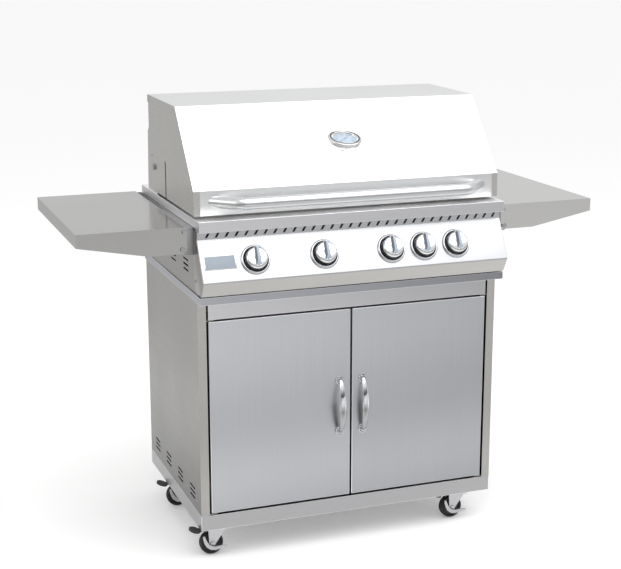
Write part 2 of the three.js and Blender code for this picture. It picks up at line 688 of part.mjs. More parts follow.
const warmingRack = () => {
  const openings = [];
  for (let i = 0; i < 6; i += 1) {
    const y = RACK_Y[0] + RACK_FRAME + i * RACK_PITCH;
    for (const [a, b] of [[-RACK_X + RACK_FRAME, -4], [4, RACK_X - RACK_FRAME]]) {
      openings.push(slab(a, b, y, y + RACK_SLOT, RACK_Z - 1, RACK_Z + 6));
    }
  }
  const deck = cut(slab(-RACK_X, RACK_X, ...RACK_Y, RACK_Z, RACK_Z + 5), ...openings);
  const low = RAIL_TOP + 2 * GAP + TRAY_SHEET;
  const legs = [];
  for (const x of [-RACK_X, RACK_X - RACK_LEG]) {
    const foot = x < 0 ? [x - 30, x + RACK_LEG] : [x, x + 30 + RACK_LEG];
    for (const y of [RACK_Y[0], RACK_Y[1] - RACK_LEG]) {
      legs.push(slab(x, x + RACK_LEG, y, y + RACK_LEG, low + 3, RACK_Z + 1));
      legs.push(slab(foot[0], foot[1], y, y + RACK_LEG, low, low + 4));
    }
  }
  return join(deck, ...legs);
};

const TRAY_HALF = 190;
const TRAY_BOTTOM = 703 + SHEET + GAP;
const TRAY_START = 66;
const TRAY_DEEP = 22;
const TRAY_FRONT_TOP = 737;

const dripTray = () => {
  const y1 = HEAD_SIDE_BACK + GAP + SHEET + GAP;
  const pan = cut(
    slab(-TRAY_HALF, TRAY_HALF, TRAY_START, y1 + 1, TRAY_BOTTOM, TRAY_BOTTOM + TRAY_DEEP),
    slab(-TRAY_HALF + SHEET, TRAY_HALF - SHEET, TRAY_START + SHEET, y1 - 3,
      TRAY_BOTTOM + SHEET, TRAY_BOTTOM + TRAY_DEEP + 1),
  );
  const front = slab(-TRAY_HALF - 12, TRAY_HALF + 12, y1, y1 + SHEET,
    TRAY_BOTTOM, TRAY_FRONT_TOP);
  const pull = slab(-60, 60, y1, y1 + 14, TRAY_FRONT_TOP - 4, TRAY_FRONT_TOP - 4 + SHEET);
  return join(pan, front, pull);
};

// ---- rear housing and burner ---------------------------------------------------------
const HOUSING_OUTER = SIDE_OUTER - SHEET - GAP - 1.2;
const HOUSING_BACK = [[449, 1062], [470, 1043], [479, 906], [479, RAIL_TOP + GAP]];

const rearHousing = () => {
  const wrap = alongX(foldedOutline([...HOUSING_BACK].reverse(), SHEET),
    -HOUSING_OUTER, HOUSING_OUTER);
  const cheek = polygon([
    [376, RAIL_TOP + GAP], [479, RAIL_TOP + GAP], [479, 906], [470, 1043], [449, 1062],
    [436, 1062], [376, 990],
  ]);
  const cheeks = [-HOUSING_OUTER, HOUSING_OUTER - SHEET].map((x) => alongX(cheek, x, x + SHEET));
  const holes = rodX(PIVOT_RADIUS + GAP, -HOUSING_OUTER - 5, HOUSING_OUTER + 5, ...PIVOT, 14);
  return cut(join(wrap, ...cheeks), holes);
};

const REAR_BURNER_HALF = 285;

const rearBurner = () => {
  const can = slab(-REAR_BURNER_HALF, REAR_BURNER_HALF, 432, 462, 950, 1035);
  const recess = slab(-REAR_BURNER_HALF + 12, REAR_BURNER_HALF - 12, 425, 440, 962, 1023);
  const feet = [-200, 200].map((x) => slab(x - 20, x + 20, 455, 472.6, 955, 975));
  return cut(join(can, ...feet), recess);
};

const hoodPivot = (side) => {
  const outer = side * (HALF_HEAD + 3);
  const inner = side * (HOUSING_OUTER - SHEET - GAP);
  const back = side * (HOUSING_OUTER - SHEET - 5);
  const face = side * (SIDE_OUTER + GAP);
  const order = (a, b) => [Math.min(a, b), Math.max(a, b)];
  const shank = rodX(PIVOT_RADIUS, ...order(outer, back), ...PIVOT, 14);
  const head = rodX(PIVOT_RADIUS + 4, ...order(face, outer), ...PIVOT, 6);
  const nut = rodX(PIVOT_RADIUS + 4, ...order(inner, back), ...PIVOT, 6);
  return join(shank, head, nut);
};

// ---- hood ----------------------------------------------------------------------------
const GAUGE_HOLE = 5;

const hoodShell = () => {
  const rear = [HOOD_PROFILE[4][0], HOOD_PROFILE[4][1] - HOOD_REAR_FLANGE];
  const sheet = alongX(foldedOutline([...HOOD_PROFILE, rear].reverse(), SHEET),
    -HALF_HEAD, HALF_HEAD);
  const fold = HOOD_PROFILE[1][1];
  const trim = [-1, 1].map((side) => {
    const a = side * (HALF_HEAD - HOOD_STRIP);
    const b = side * (HALF_HEAD + 5);
    return slab(Math.min(a, b), Math.max(a, b), 0, 12, HOOD_BOTTOM - 5, fold - 0.5);
  });
  const drill = rodZ(GAUGE_HOLE, -10, 10, 0, 0, 16).applyMatrix4(onSlope());
  return cut(sheet, ...trim, drill);
};

const SPIT_Y = 278;
const SPIT_WIDTH = 9;
const SPIT_TOP = 987;

const hoodEndLeft = () => {
  const inset = SHEET + GAP;
  const outline = foldedOutline(HOOD_PROFILE, -inset).getPoints();
  const line = outline.slice(HOOD_PROFILE.length).reverse().map((p) => [p.x, p.y]);
  const rearY = HOOD_PROFILE[4][0] - inset;
  const fold = HOOD_PROFILE[1][1] - 0.8;
  line.splice(0, 1, [HOOD_PROFILE[0][0] + GAP, HOOD_BOTTOM], [HOOD_PROFILE[1][0] + GAP, fold]);
  line[line.length - 1] = [rearY, line[line.length - 1][1]];
  const start = Math.acos((rearY - PIVOT[0]) / HOOD_HEEL_RADIUS);
  const steps = 10;
  for (let i = 0; i <= steps; i += 1) {
    const a = -start + (i / steps) * (start - Math.PI / 2);
    line.push([PIVOT[0] + HOOD_HEEL_RADIUS * Math.cos(a), PIVOT[1] + HOOD_HEEL_RADIUS * Math.sin(a)]);
  }
  line.push([PIVOT[0] - 14, HOOD_BOTTOM]);
  const plate = alongX(polygon(line), -SIDE_OUTER, -SIDE_OUTER + SHEET);
  const strip = alongX(foldedOutline([
    [HOOD_PROFILE[1][0], fold], HOOD_PROFILE[0],
  ], SHEET), -HALF_HEAD, -HALF_HEAD + HOOD_STRIP - GAP);
  const slot = slab(-HALF_HEAD - 5, -HALF_HEAD + 9, SPIT_Y - SPIT_WIDTH / 2,
    SPIT_Y + SPIT_WIDTH / 2, HOOD_BOTTOM - 5, SPIT_TOP - SPIT_WIDTH / 2);
  const cap = rodX(SPIT_WIDTH / 2, -HALF_HEAD - 5, -HALF_HEAD + 9, SPIT_Y,
    SPIT_TOP - SPIT_WIDTH / 2, 16);
  const hole = rodX(PIVOT_RADIUS + GAP, -HALF_HEAD - 5, -HALF_HEAD + 9, ...PIVOT, 14);
  return cut(join(plate, strip), slot, cap, hole);
};

const HANDLE_TUBE = 15;
const HANDLE_HALF = 348;
const HANDLE_OUT = -45;
const HANDLE_HEIGHT = 925;
const HANDLE_BEND = 40;
const HANDLE_STATIONS = 5;

// A path whose stations are the listed points, so bends get more of them than straights.
class StationPath extends THREE.Curve {
  constructor(stations) {
    super();
    this.stations = stations;
  }

  getPoint(t) {
    const last = this.stations.length - 1;
    const index = Math.min(Math.floor(t * last + 1e-9), last - 1);
    return this.stations[index].clone().lerp(this.stations[index + 1], t * last - index);
  }

  getPointAt(t) {
    return this.getPoint(t);
  }

  getTangentAt(t) {
    const step = 0.2 / this.stations.length;
    const ahead = this.getPoint(Math.min(t + step, 1));
    return ahead.sub(this.getPoint(Math.max(t - step, 0))).normalize();
  }
}

const hoodHandle = () => {
  const root = HOOD_PROFILE[0][0] + 0.05;
  const reach = root - HANDLE_OUT;
  const bendX = HANDLE_HALF - reach - HANDLE_BEND * Math.tan(Math.PI / 8);
  const bendY = HANDLE_OUT + HANDLE_BEND;
  const point = (side, angle) => new THREE.Vector3(
    side * (bendX + HANDLE_BEND * Math.sin(angle)),
    bendY - HANDLE_BEND * Math.cos(angle),
    HANDLE_HEIGHT,
  );
  const past = (side) => new THREE.Vector3(
    side * (HANDLE_HALF + HANDLE_TUBE), root + HANDLE_TUBE, HANDLE_HEIGHT,
  );
  const turn = (i) => (i / HANDLE_STATIONS) * (Math.PI / 4);
  const stations = [past(-1)];
  for (let i = HANDLE_STATIONS; i >= 0; i -= 1) {
    stations.push(point(-1, turn(i)));
  }
  for (let i = 0; i <= HANDLE_STATIONS; i += 1) {
    stations.push(point(1, turn(i)));
  }
  stations.push(past(1));
  const ring = new THREE.Shape().absarc(0, 0, HANDLE_TUBE, 0, Math.PI * 2, false);
  ring.holes.push(new THREE.Path().absarc(0, 0, HANDLE_TUBE - 2, 0, Math.PI * 2, true));
  const tube = new THREE.ExtrudeGeometry(ring, {
    steps: stations.length - 1,
    curveSegments: 7,
    bevelEnabled: false,
    extrudePath: new StationPath(stations),
  });
  const wide = HANDLE_HALF + 4 * HANDLE_TUBE;
  return cut(tube, slab(-wide, wide, root, root + 4 * HANDLE_TUBE,
    HANDLE_HEIGHT - 2 * HANDLE_TUBE, HANDLE_HEIGHT + 2 * HANDLE_TUBE));
};

const GAUGE_DEPTH = 14;
const GAUGE_NECK = 9;
const GAUGE_PROBE = 58;
const DIAL_DEPTH = 9;

const gaugeHousing = () => {
  const r = GAUGE_RADIUS;
  const d = GAUGE_DEPTH;
  const head = turned([
    [0, 0], [GAUGE_FOOT, 0], [r - 1.5, 2], [r, 5], [r, d - 2], [r - 2, d], [r - 9, d],
    [r - 11, DIAL_DEPTH], [3, DIAL_DEPTH], [2.5, DIAL_DEPTH - 1.2], [0, DIAL_DEPTH - 1.2],
  ], 28).applyMatrix4(onGauge());
  const stem = GAUGE_HOLE - GAP;
  const neck = turned([
    [0, -GAUGE_PROBE], [stem, -GAUGE_PROBE], [stem, GAP], [GAUGE_NECK, GAP],
    [GAUGE_NECK, GAUGE_OFF + 4], [0, GAUGE_OFF + 4],
  ], 20).applyMatrix4(onSlope());
  return join(head, neck);
};

const gaugeNeedle = () => {
  const hub = rodZ(2.2, DIAL_DEPTH - 1.2 + GAP, DIAL_DEPTH + 2.2, 0, 0, 12);
  const blade = alongZ(polygon([[-1.4, -9], [1.4, -9], [0.5, 28], [-0.5, 28]]),
    DIAL_DEPTH + 0.8, DIAL_DEPTH + 1.8);
  const rest = new THREE.Matrix4().makeRotationZ(Math.PI * 0.72);
  return join(hub, blade).applyMatrix4(rest).applyMatrix4(onGauge());
};

// ---- side shelves --------------------------------------------------------------------
const SHELF_HOLE = 4.5;
const SHELF_PIN = 4;
const LATCH_PIN = 3;
const CORNER = 12;

const shelfFlange = () => {
  const deep = SHELF_TOP - SHELF_DEEP;
  const shape = new THREE.Shape();
  shape.moveTo(-SHELF_OUTER, SHELF_TOP);
  shape.lineTo(-SHELF_OUTER, SHELF_TOP - SHELF_THIN);
  shape.lineTo(-SHELF_KINK, deep);
  shape.lineTo(-SHELF_INNER - CORNER, deep);
  shape.absarc(-SHELF_INNER - CORNER, deep + CORNER, CORNER, -Math.PI / 2, 0, false);
  shape.lineTo(-SHELF_INNER, SHELF_TOP);
  return shape;
};

const shelfLeft = () => {
  const deck = slab(-SHELF_OUTER, -SHELF_INNER, SHELF_FRONT, SHELF_BACK, SHELF_TOP - SHEET,
    SHELF_TOP);
  const outer = slab(-SHELF_OUTER, -SHELF_OUTER + SHEET, SHELF_FRONT, SHELF_BACK,
    SHELF_TOP - SHELF_THIN, SHELF_TOP);
  const front = alongY(shelfFlange(), SHELF_FRONT, SHELF_FRONT + SHEET);
  const back = alongY(shelfFlange(), SHELF_BACK - SHEET, SHELF_BACK);
  const stiffener = alongX(foldedOutline([
    [SHELF_FRONT + 150, SHELF_TOP - SHEET - 14], [SHELF_BACK - 150, SHELF_TOP - SHEET - 14],
  ], SHEET), -SHELF_OUTER + 60, -SHELF_INNER - 60);
  const webs = [SHELF_FRONT + 150, SHELF_BACK - 150 - SHEET].map((y) => {
    return slab(-SHELF_OUTER + 60, -SHELF_INNER - 60, y, y + SHEET, SHELF_TOP - SHEET - 14,
      SHELF_TOP - 1);
  });
  const pins = rodY(SHELF_HOLE, SHELF_FRONT - 5, SHELF_BACK + 5, -SHELF_PIVOT[0], SHELF_PIVOT[1]);
  const notch = slab(-SHELF_LATCH[0] - 4, -SHELF_INNER + 5, SHELF_FRONT - 5, SHELF_BACK + 5,
    SHELF_LATCH[1] - 4.5, SHELF_LATCH[1] + 4.5);
  return cut(join(deck, outer, front, back, stiffener, ...webs), pins, notch);
};

const shelfBracketLeft = () => {
  const wall = -HALF_HEAD;
  const high = RAIL_TOP - RAIL_SKIRT - 2;
  const plate = slab(wall, -SIDE_OUTER - GAP, SHELF_FRONT + 4, SHELF_BACK - 16, 798, high);
  const ear = polygon([
    [wall + 1, 798], [wall + 1, high], [-SHELF_LATCH[0] - 6, high], [-SHELF_PIVOT[0] - 10, 822],
    [-SHELF_PIVOT[0] - 10, 804], [-SHELF_PIVOT[0] - 4, 799],
  ]);
  const y0 = SHELF_FRONT + SHEET + GAP;
  const y1 = SHELF_BACK - SHEET - GAP;
  const parts = [plate, alongY(ear, y0, y0 + 3), alongY(ear, y1 - 3, y1)];
  parts.push(slab(wall, wall + SHEET, SHELF_BACK - 20, y1, 798, high));
  const pin = (radius, head, [x, z]) => {
    parts.push(rodY(radius, SHELF_FRONT - 4, y0 + 2, -x, z, 10));
    parts.push(rodY(head, SHELF_FRONT - 5, SHELF_FRONT - GAP, -x, z, 6));
    parts.push(rodY(radius, y1 - 2, SHELF_BACK + 4, -x, z, 10));
    parts.push(rodY(head, SHELF_BACK + GAP, SHELF_BACK + 5, -x, z, 6));
  };
  pin(SHELF_PIN, 7, SHELF_PIVOT);
  pin(LATCH_PIN, 6, SHELF_LATCH);
  return join(...parts);
};

// ---- assembly ------------------------------------------------------------------------
const grill = new THREE.Group();
grill.position.y = -ORIGIN_Y;

const add = (name, slot, geometry, parent = grill) => {
  const mesh = new THREE.Mesh(geometry, material(slot));
  mesh.name = name;
  parent.add(mesh);
  return mesh;
};

const addPair = (name, slot, left) => {
  add(`${name}_left`, slot, left);
  add(`${name}_right`, slot, mirrorX(left));
};

add("cart_base", "stainless", cartBase());
addPair("side_panel", "stainless", sidePanelLeft());
add("cart_rear_panel", "stainless", cartRearPanel());
add("front_header", "stainless", frontHeader());
add("cart_rim", "stainless", cartRim());
addPair("door", "stainless", doorLeft());
addPair("door_handle", "chrome", doorHandle(-HANDLE_X));

const corners = [
  ["front_left", -CASTER_X, CASTER_Y[0]],
  ["front_right", CASTER_X, CASTER_Y[0]],
  ["back_left", -CASTER_X, CASTER_Y[1]],
  ["back_right", CASTER_X, CASTER_Y[1]],
];
for (const [corner, x, y] of corners) {
  const caster = new THREE.Group();
  caster.position.set(x, y, 0);
  grill.add(caster);
  add(`fork_${corner}`, "zinc", casterFork(), caster);
  add(`wheel_${corner}`, "tyre", casterWheel(), caster);
  add(`pedal_${corner}`, "black_plastic", brakePedal(), caster);
}

addPair("head_side", "stainless", headSideLeft());
add("head_rear_panel", "stainless", headRearPanel());
add("top_rail", "stainless", topRail());
add("control_panel", "stainless", controlPanel());
add("badge_plate", "badge", badgePlate());
add("gas_manifold", "aluminised", gasManifold());
add("firebox", "stainless_dark", firebox());
add("burner_set", "stainless_dark", burnerSet());
add("flame_tamer_rack", "stainless_dark", tamerRack());
add("cooking_grate_left", "cast_iron", cookingGrate(-1));
add("cooking_grate_right", "cast_iron", cookingGrate(1));
add("warming_rack", "chrome", warmingRack());
add("drip_tray", "aluminised", dripTray());
KNOB_X.forEach((x, i) => {
  add(`valve_stem_${i + 1}`, "brass", valveStem(x));
  add(`knob_${i + 1}`, "chrome", knob(x));
});

add("rear_housing", "stainless", rearHousing());
add("rear_burner", "ceramic", rearBurner());
add("hood_pivot_left", "zinc", hoodPivot(-1));
add("hood_pivot_right", "zinc", hoodPivot(1));
add("hood_shell", "stainless", hoodShell());
addPair("hood_end", "stainless", hoodEndLeft());
add("hood_handle", "chrome", hoodHandle());
add("gauge_housing", "chrome", gaugeHousing());
add("gauge_needle", "black_plastic", gaugeNeedle());

addPair("shelf", "stainless", shelfLeft());
addPair("shelf_bracket", "zinc", shelfBracketLeft());

export default grill;
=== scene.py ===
import json
import math

import bmesh
import bpy
from mathutils import Matrix, Vector

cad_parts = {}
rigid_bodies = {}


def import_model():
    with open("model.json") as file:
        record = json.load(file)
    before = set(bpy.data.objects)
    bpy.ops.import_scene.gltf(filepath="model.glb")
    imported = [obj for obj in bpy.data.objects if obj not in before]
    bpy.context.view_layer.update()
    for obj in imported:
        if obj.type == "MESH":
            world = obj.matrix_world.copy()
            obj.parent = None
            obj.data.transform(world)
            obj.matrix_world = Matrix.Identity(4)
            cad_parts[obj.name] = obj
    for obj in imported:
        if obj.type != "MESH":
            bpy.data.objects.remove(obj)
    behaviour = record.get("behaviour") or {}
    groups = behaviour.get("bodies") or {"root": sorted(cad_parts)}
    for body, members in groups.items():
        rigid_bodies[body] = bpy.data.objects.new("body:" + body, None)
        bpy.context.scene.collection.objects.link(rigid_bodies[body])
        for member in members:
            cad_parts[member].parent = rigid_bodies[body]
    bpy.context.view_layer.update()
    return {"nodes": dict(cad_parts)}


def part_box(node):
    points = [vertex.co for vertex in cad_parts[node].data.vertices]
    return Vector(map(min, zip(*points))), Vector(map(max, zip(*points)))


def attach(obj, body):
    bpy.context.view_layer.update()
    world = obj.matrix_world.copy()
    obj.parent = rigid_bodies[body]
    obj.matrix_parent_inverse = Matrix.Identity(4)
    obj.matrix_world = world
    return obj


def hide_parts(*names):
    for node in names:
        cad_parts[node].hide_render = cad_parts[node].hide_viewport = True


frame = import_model()
MM = 0.001

# ---------------------------------------------------------------- frame and places
FRONT_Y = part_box("cart_base")[0][1]


def at(x, y, z):
    """A point in millimetres, y from the cabinet's front, as metres in the row frame."""
    return Vector((x * MM, y * MM + FRONT_Y, z * MM))


def basis(origin, u, v, w):
    """Matrix of a frame, from its origin and axes."""
    return Matrix(((u[0], v[0], w[0], origin[0]), (u[1], v[1], w[1], origin[1]),
                   (u[2], v[2], w[2], origin[2]), (0, 0, 0, 1)))


PANEL_EDGE = (-62.5, 742.0)
PANEL_TOP = (-11.0, 838.0)
LIP_EDGE = (-42.0, 705.5)
KNOB_X = [-267, -89, 89, 178, 267]
KNOB_S = 50.0
HOOD = [(6.2, 892.0), (7.4, 952.5), (163.8, 1139.5), (434.0, 1142.5), (447.0, 1141.5)]
GAUGE_ALONG = 103.0
GAUGE_TILT = math.radians(18.0)
GAUGE_FOOT = 40.0
GAUGE_CLEARANCE = 0.5
GAUGE_SWEEP = (130, -130)
DIAL_FACE = 9.3
NUMBER_RADIUS = 21.8
NUMBER_SIZE = 5.0
INK_DEPTH = 0.12
HALF_HEAD = 405.5
HALF_FACE = 404.0
SHEET = 1.5
X_AXIS = Vector((1, 0, 0))
BACKWARDS = Vector((0, 1, 0))
UP = Vector((0, 0, 1))
SIDES = ((-1, "left"), (1, "right"))


def slope_frame(low, high, x, along):
    """Frame on a folded face: u along X, v up the face, w outwards, in metres."""
    v = Vector((0, high[0] - low[0], high[1] - low[1])).normalized()
    w = X_AXIS.cross(v)
    return basis(at(x, low[0], low[1]) + v * along * MM, X_AXIS, v, w)


def panel_frame(x, s):
    return slope_frame(PANEL_EDGE, PANEL_TOP, x, s)


# ---------------------------------------------------------------- node materials
def new_material(name):
    mat = bpy.data.materials.new(name)
    mat.use_nodes = True
    nodes = mat.node_tree.nodes
    nodes.clear()
    out = nodes.new("ShaderNodeOutputMaterial")
    bsdf = nodes.new("ShaderNodeBsdfPrincipled")
    mat.node_tree.links.new(bsdf.outputs[0], out.inputs[0])
    return mat, bsdf


def noise(mat, scale, stretch=(1, 1, 1), detail=3.0, rough=0.55):
    nodes, links = mat.node_tree.nodes, mat.node_tree.links
    coord = nodes.new("ShaderNodeTexCoord")
    mapping = nodes.new("ShaderNodeMapping")
    mapping.inputs["Scale"].default_value = stretch
    links.new(coord.outputs["Object"], mapping.inputs["Vector"])
    tex = nodes.new("ShaderNodeTexNoise")
    tex.inputs["Scale"].default_value = scale
    tex.inputs["Detail"].default_value = detail
    tex.inputs["Roughness"].default_value = rough
    links.new(mapping.outputs[0], tex.inputs["Vector"])
    return tex.outputs["Fac"]


def remap(mat, value, low, high, start=0.3, end=0.7):
    node = mat.node_tree.nodes.new("ShaderNodeMapRange")
    node.inputs["From Min"].default_value = start
    node.inputs["From Max"].default_value = end
    node.inputs["To Min"].default_value = low
    node.inputs["To Max"].default_value = high
    mat.node_tree.links.new(value, node.inputs["Value"])
    return node.outputs["Result"]


def combine(mat, a, b, operation="ADD"):
    node = mat.node_tree.nodes.new("ShaderNodeMath")
    node.operation = operation
    for socket, value in zip(node.inputs, (a, b)):
        if isinstance(value, (int, float)):
            socket.default_value = value
        else:
            mat.node_tree.links.new(value, socket)
    return node.outputs[0]


def mix_colour(mat, factor, first, second):
    node = mat.node_tree.nodes.new("ShaderNodeMix")
    node.data_type = "RGBA"
    mat.node_tree.links.new(factor, node.inputs["Factor"])
    node.inputs["A"].default_value = (*first, 1)
    node.inputs["B"].default_value = (*second, 1)
    return node.outputs["Result"]


def bump(mat, bsdf, height, strength, distance):
    node = mat.node_tree.nodes.new("ShaderNodeBump")
    node.inputs["Strength"].default_value = strength
    node.inputs["Distance"].default_value = distance
    mat.node_tree.links.new(height, node.inputs["Height"])
    mat.node_tree.links.new(node.outputs[0], bsdf.inputs["Normal"])


def brushed(name, colour, roughness, grain, spread=0.04, strength=0.08):
    """Brushed sheet steel: fine and coarse streaks along one axis, and soft handling marks."""
    mat, bsdf = new_material(name)
    fine = {"x": (3, 700, 700), "y": (700, 3, 700), "z": (700, 700, 3)}[grain]
    coarse = {"x": (1.2, 260, 260), "y": (260, 1.2, 260), "z": (260, 260, 1.2)}[grain]
    streak = noise(mat, 1.0, fine, 4.0, 0.6)
    band = noise(mat, 1.0, coarse, 2.0, 0.5)
    smudge = noise(mat, 5.0, (1, 1, 1), 3.0, 0.5)
    both = combine(mat, remap(mat, streak, 0, 1), remap(mat, band, 0, 0.3))
    rough = combine(mat, remap(mat, both, roughness - spread, roughness + spread, 0.2, 1.3),
                    remap(mat, smudge, -0.02, 0.02))
    mat.node_tree.links.new(rough, bsdf.inputs["Roughness"])
    dark = tuple(c * 0.97 for c in colour)
    light = tuple(min(c * 1.03, 1) for c in colour)
    tint = mix_colour(mat, remap(mat, both, 0, 1, 0.2, 1.3), dark, light)
    mat.node_tree.links.new(tint, bsdf.inputs["Base Color"])
    bsdf.inputs["Metallic"].default_value = 1.0
    bump(mat, bsdf, both, strength, 0.00004)
    return mat


def position(mat, axis, moving=False):
    """One coordinate of the shaded point, in the row frame or fixed to a moving piece."""
    nodes = mat.node_tree.nodes
    if moving:
        source = nodes.new("ShaderNodeTexCoord").outputs["Object"]
    else:
        source = nodes.new("ShaderNodeNewGeometry").outputs["Position"]
    split = nodes.new("ShaderNodeSeparateXYZ")
    mat.node_tree.links.new(source, split.inputs[0])
    return split.outputs[axis]


def facing_part(mat, axis, start=0.5, end=0.8):
    """1 where the surface faces along the axis, either way, and 0 elsewhere."""
    nodes = mat.node_tree.nodes
    split = nodes.new("ShaderNodeSeparateXYZ")
    mat.node_tree.links.new(nodes.new("ShaderNodeNewGeometry").outputs["Normal"], split.inputs[0])
    size = combine(mat, split.outputs[axis], 0, "ABSOLUTE")
    return remap(mat, size, 0, 1, start, end)


def toned(mat, factor):
    """Scales the finish colour by a factor that changes over the surface."""
    bsdf = next(n for n in mat.node_tree.nodes if n.type == "BSDF_PRINCIPLED")
    scale = mat.node_tree.nodes.new("ShaderNodeVectorMath")
    scale.operation = "SCALE"
    source = bsdf.inputs["Base Color"].links[0].from_socket
    mat.node_tree.links.new(source, scale.inputs[0])
    mat.node_tree.links.new(factor, scale.inputs["Scale"])
    mat.node_tree.links.new(scale.outputs[0], bsdf.inputs["Base Color"])


def surface(name, colour, roughness, metallic=0.0, grain=60.0, depth=0.0002, strength=0.2,
            vary=0.12, coat=0.0):
    """General finish with mottled colour, uneven roughness and a fine surface texture."""
    mat, bsdf = new_material(name)
    mottle = noise(mat, grain, (1, 1, 1), 5.0, 0.6)
    wear = noise(mat, 12.0, (1, 1, 1), 4.0, 0.6)
    rough = remap(mat, combine(mat, mottle, wear), roughness * 0.8,
                  min(roughness * 1.25, 1), 0.7, 1.3)
    mat.node_tree.links.new(rough, bsdf.inputs["Roughness"])
    dark = tuple(c * (1 - vary) for c in colour)
    light = tuple(min(c * (1 + vary), 1) for c in colour)
    mat.node_tree.links.new(mix_colour(mat, remap(mat, wear, 0, 1), dark, light),
                            bsdf.inputs["Base Color"])
    bsdf.inputs["Metallic"].default_value = metallic
    bsdf.inputs["Coat Weight"].default_value = coat
    bump(mat, bsdf, mottle, strength, depth)
    return mat


def glass_material():
    mat, bsdf = new_material("gauge_glass")
    bsdf.inputs["Base Color"].default_value = (0.97, 0.985, 1.0, 1)
    bsdf.inputs["Transmission Weight"].default_value = 1.0
    bsdf.inputs["IOR"].default_value = 1.15
    mat.node_tree.links.new(remap(mat, noise(mat, 30.0), 0.01, 0.05), bsdf.inputs["Roughness"])
    return mat


M = {
    "panel": brushed("steel_panel", (0.59, 0.60, 0.615), 0.36, "x"),
    "frame": brushed("steel_frame", (0.52, 0.53, 0.565), 0.34, "x"),
    "door": brushed("steel_door", (0.52, 0.53, 0.55), 0.32, "z", 0.03, 0.04),
    "side": brushed("steel_side", (0.385, 0.372, 0.352), 0.30, "y", 0.03, 0.04),
    "hood_side": brushed("steel_hood_side", (0.62, 0.61, 0.585), 0.30, "y", 0.03, 0.04),
    "skirt": brushed("steel_skirt", (0.385, 0.385, 0.39), 0.34, "x", 0.03, 0.05),
    # painted highlight: a bright copy of the steel for the bevelled edges of sheets
    "edge": surface("painted_edge_highlight", (0.92, 0.92, 0.93), 0.32, 1.0, 200, 0.00002, 0.05, 0.03),
    "bezel": surface("bezel_chrome", (0.62, 0.63, 0.65), 0.09, 1.0, 25, 0.00002, 0.04, 0.02),
    # painted shade: a darker copy of the panel steel for the lip
    "lip": brushed("steel_lip_painted_shade", (0.46, 0.45, 0.435), 0.36, "x", 0.03, 0.05),
    "hood": brushed("steel_hood", (0.84, 0.845, 0.85), 0.38, "x", 0.04, 0.05),
    "shelf": brushed("steel_shelf", (0.47, 0.465, 0.455), 0.20, "y", 0.03, 0.04),
    "inner": brushed("steel_inner", (0.42, 0.41, 0.40), 0.42, "x", 0.1, 0.3),
    "zinc": surface("zinc_plate", (0.50, 0.50, 0.51), 0.36, 1.0, 180, 0.0001, 0.25, 0.1),
    "chrome": surface("chrome_plate", (0.86, 0.87, 0.88), 0.06, 1.0, 25, 0.00002, 0.04, 0.02),
    "satin": surface("satin_ring", (0.74, 0.74, 0.74), 0.18, 1.0, 120, 0.00003, 0.08, 0.04),
    "aluminised": surface("aluminised_sheet", (0.47, 0.47, 0.46), 0.45, 1.0, 240, 0.0001, 0.3),
    "iron": surface("cast_iron_enamel", (0.022, 0.022, 0.023), 0.55, 0.0, 420, 0.0005, 0.5, 0.2),
    "ceramic": surface("burner_ceramic", (0.62, 0.50, 0.36), 0.9, 0.0, 500, 0.0006, 0.7, 0.15),
    "brass": surface("valve_brass", (0.56, 0.42, 0.19), 0.3, 1.0, 160, 0.0001, 0.2, 0.08),
    "plastic": surface("black_plastic", (0.022, 0.022, 0.023), 0.5, 0.0, 700, 0.0001, 0.3, 0.15),
    "rubber": surface("black_rubber", (0.016, 0.016, 0.016), 0.72, 0.0, 300, 0.0002, 0.35, 0.2),
    "badge": surface("badge_blue_grey", (0.36, 0.41, 0.47), 0.45, 0.0, 90, 0.00003, 0.1, 0.04),
    "handle": brushed("handle_satin", (0.70, 0.71, 0.715), 0.30, "x", 0.04, 0.04),
    "ink": surface("dial_ink", (0.03, 0.03, 0.035), 0.5, 0.0, 100, 0.00001, 0.05, 0.05),
    "red": surface("dial_red", (0.62, 0.06, 0.05), 0.5, 0.0, 100, 0.00001, 0.05, 0.05),
    "dial": surface("dial_pale", (0.33, 0.405, 0.485), 0.35, 0.0, 40, 0.00001, 0.05, 0.05, 0.3),
    "glass": glass_material(),
    # painted light: a lighter copy of the shelf steel for the right shelf
    "shelf_right": brushed("steel_shelf_right_painted_light", (0.64, 0.635, 0.62), 0.20, "y", 0.03, 0.04),
    # painted reflection on the grip's back and painted shade on its left side
    "grip": surface("grip_painted_reflection", (0.47, 0.55, 0.65), 0.35, 0.0, 25, 0.00002, 0.04, 0.02),
    "grip_painted_shade": surface("grip_painted_shade", (0.16, 0.17, 0.19), 0.30, 0.0, 25, 0.00002, 0.04, 0.02),
    "needle": surface("needle_grey", (0.30, 0.33, 0.37), 0.5, 0.0, 100, 0.00001, 0.05, 0.05),
    # painted shade: dark half-metal for the knob's skirt, in the gap between cap and bezel
    "skirt_painted_shade": surface("knob_skirt", (0.16, 0.165, 0.17), 0.25, 0.6, 60, 0.00002, 0.05, 0.05),
    "header": brushed("steel_header", (0.56, 0.56, 0.575), 0.34, "x"),
    "rail": brushed("steel_rail", (0.66, 0.66, 0.675), 0.36, "x"),
    "cart_side": brushed("steel_cart_side", (0.395, 0.386, 0.37), 0.30, "y", 0.03, 0.04),
    "pull": surface("pull_chrome", (0.86, 0.87, 0.88), 0.08, 1.0, 25, 0.00002, 0.04, 0.02),
    # painted highlight on the front corners of the cart sides, painted shade on their edges behind
    "edge_side": surface("side_edge_painted_highlight_and_shade", (0.92, 0.92, 0.93), 0.32, 1.0, 200, 0.00002, 0.05, 0.03),
}

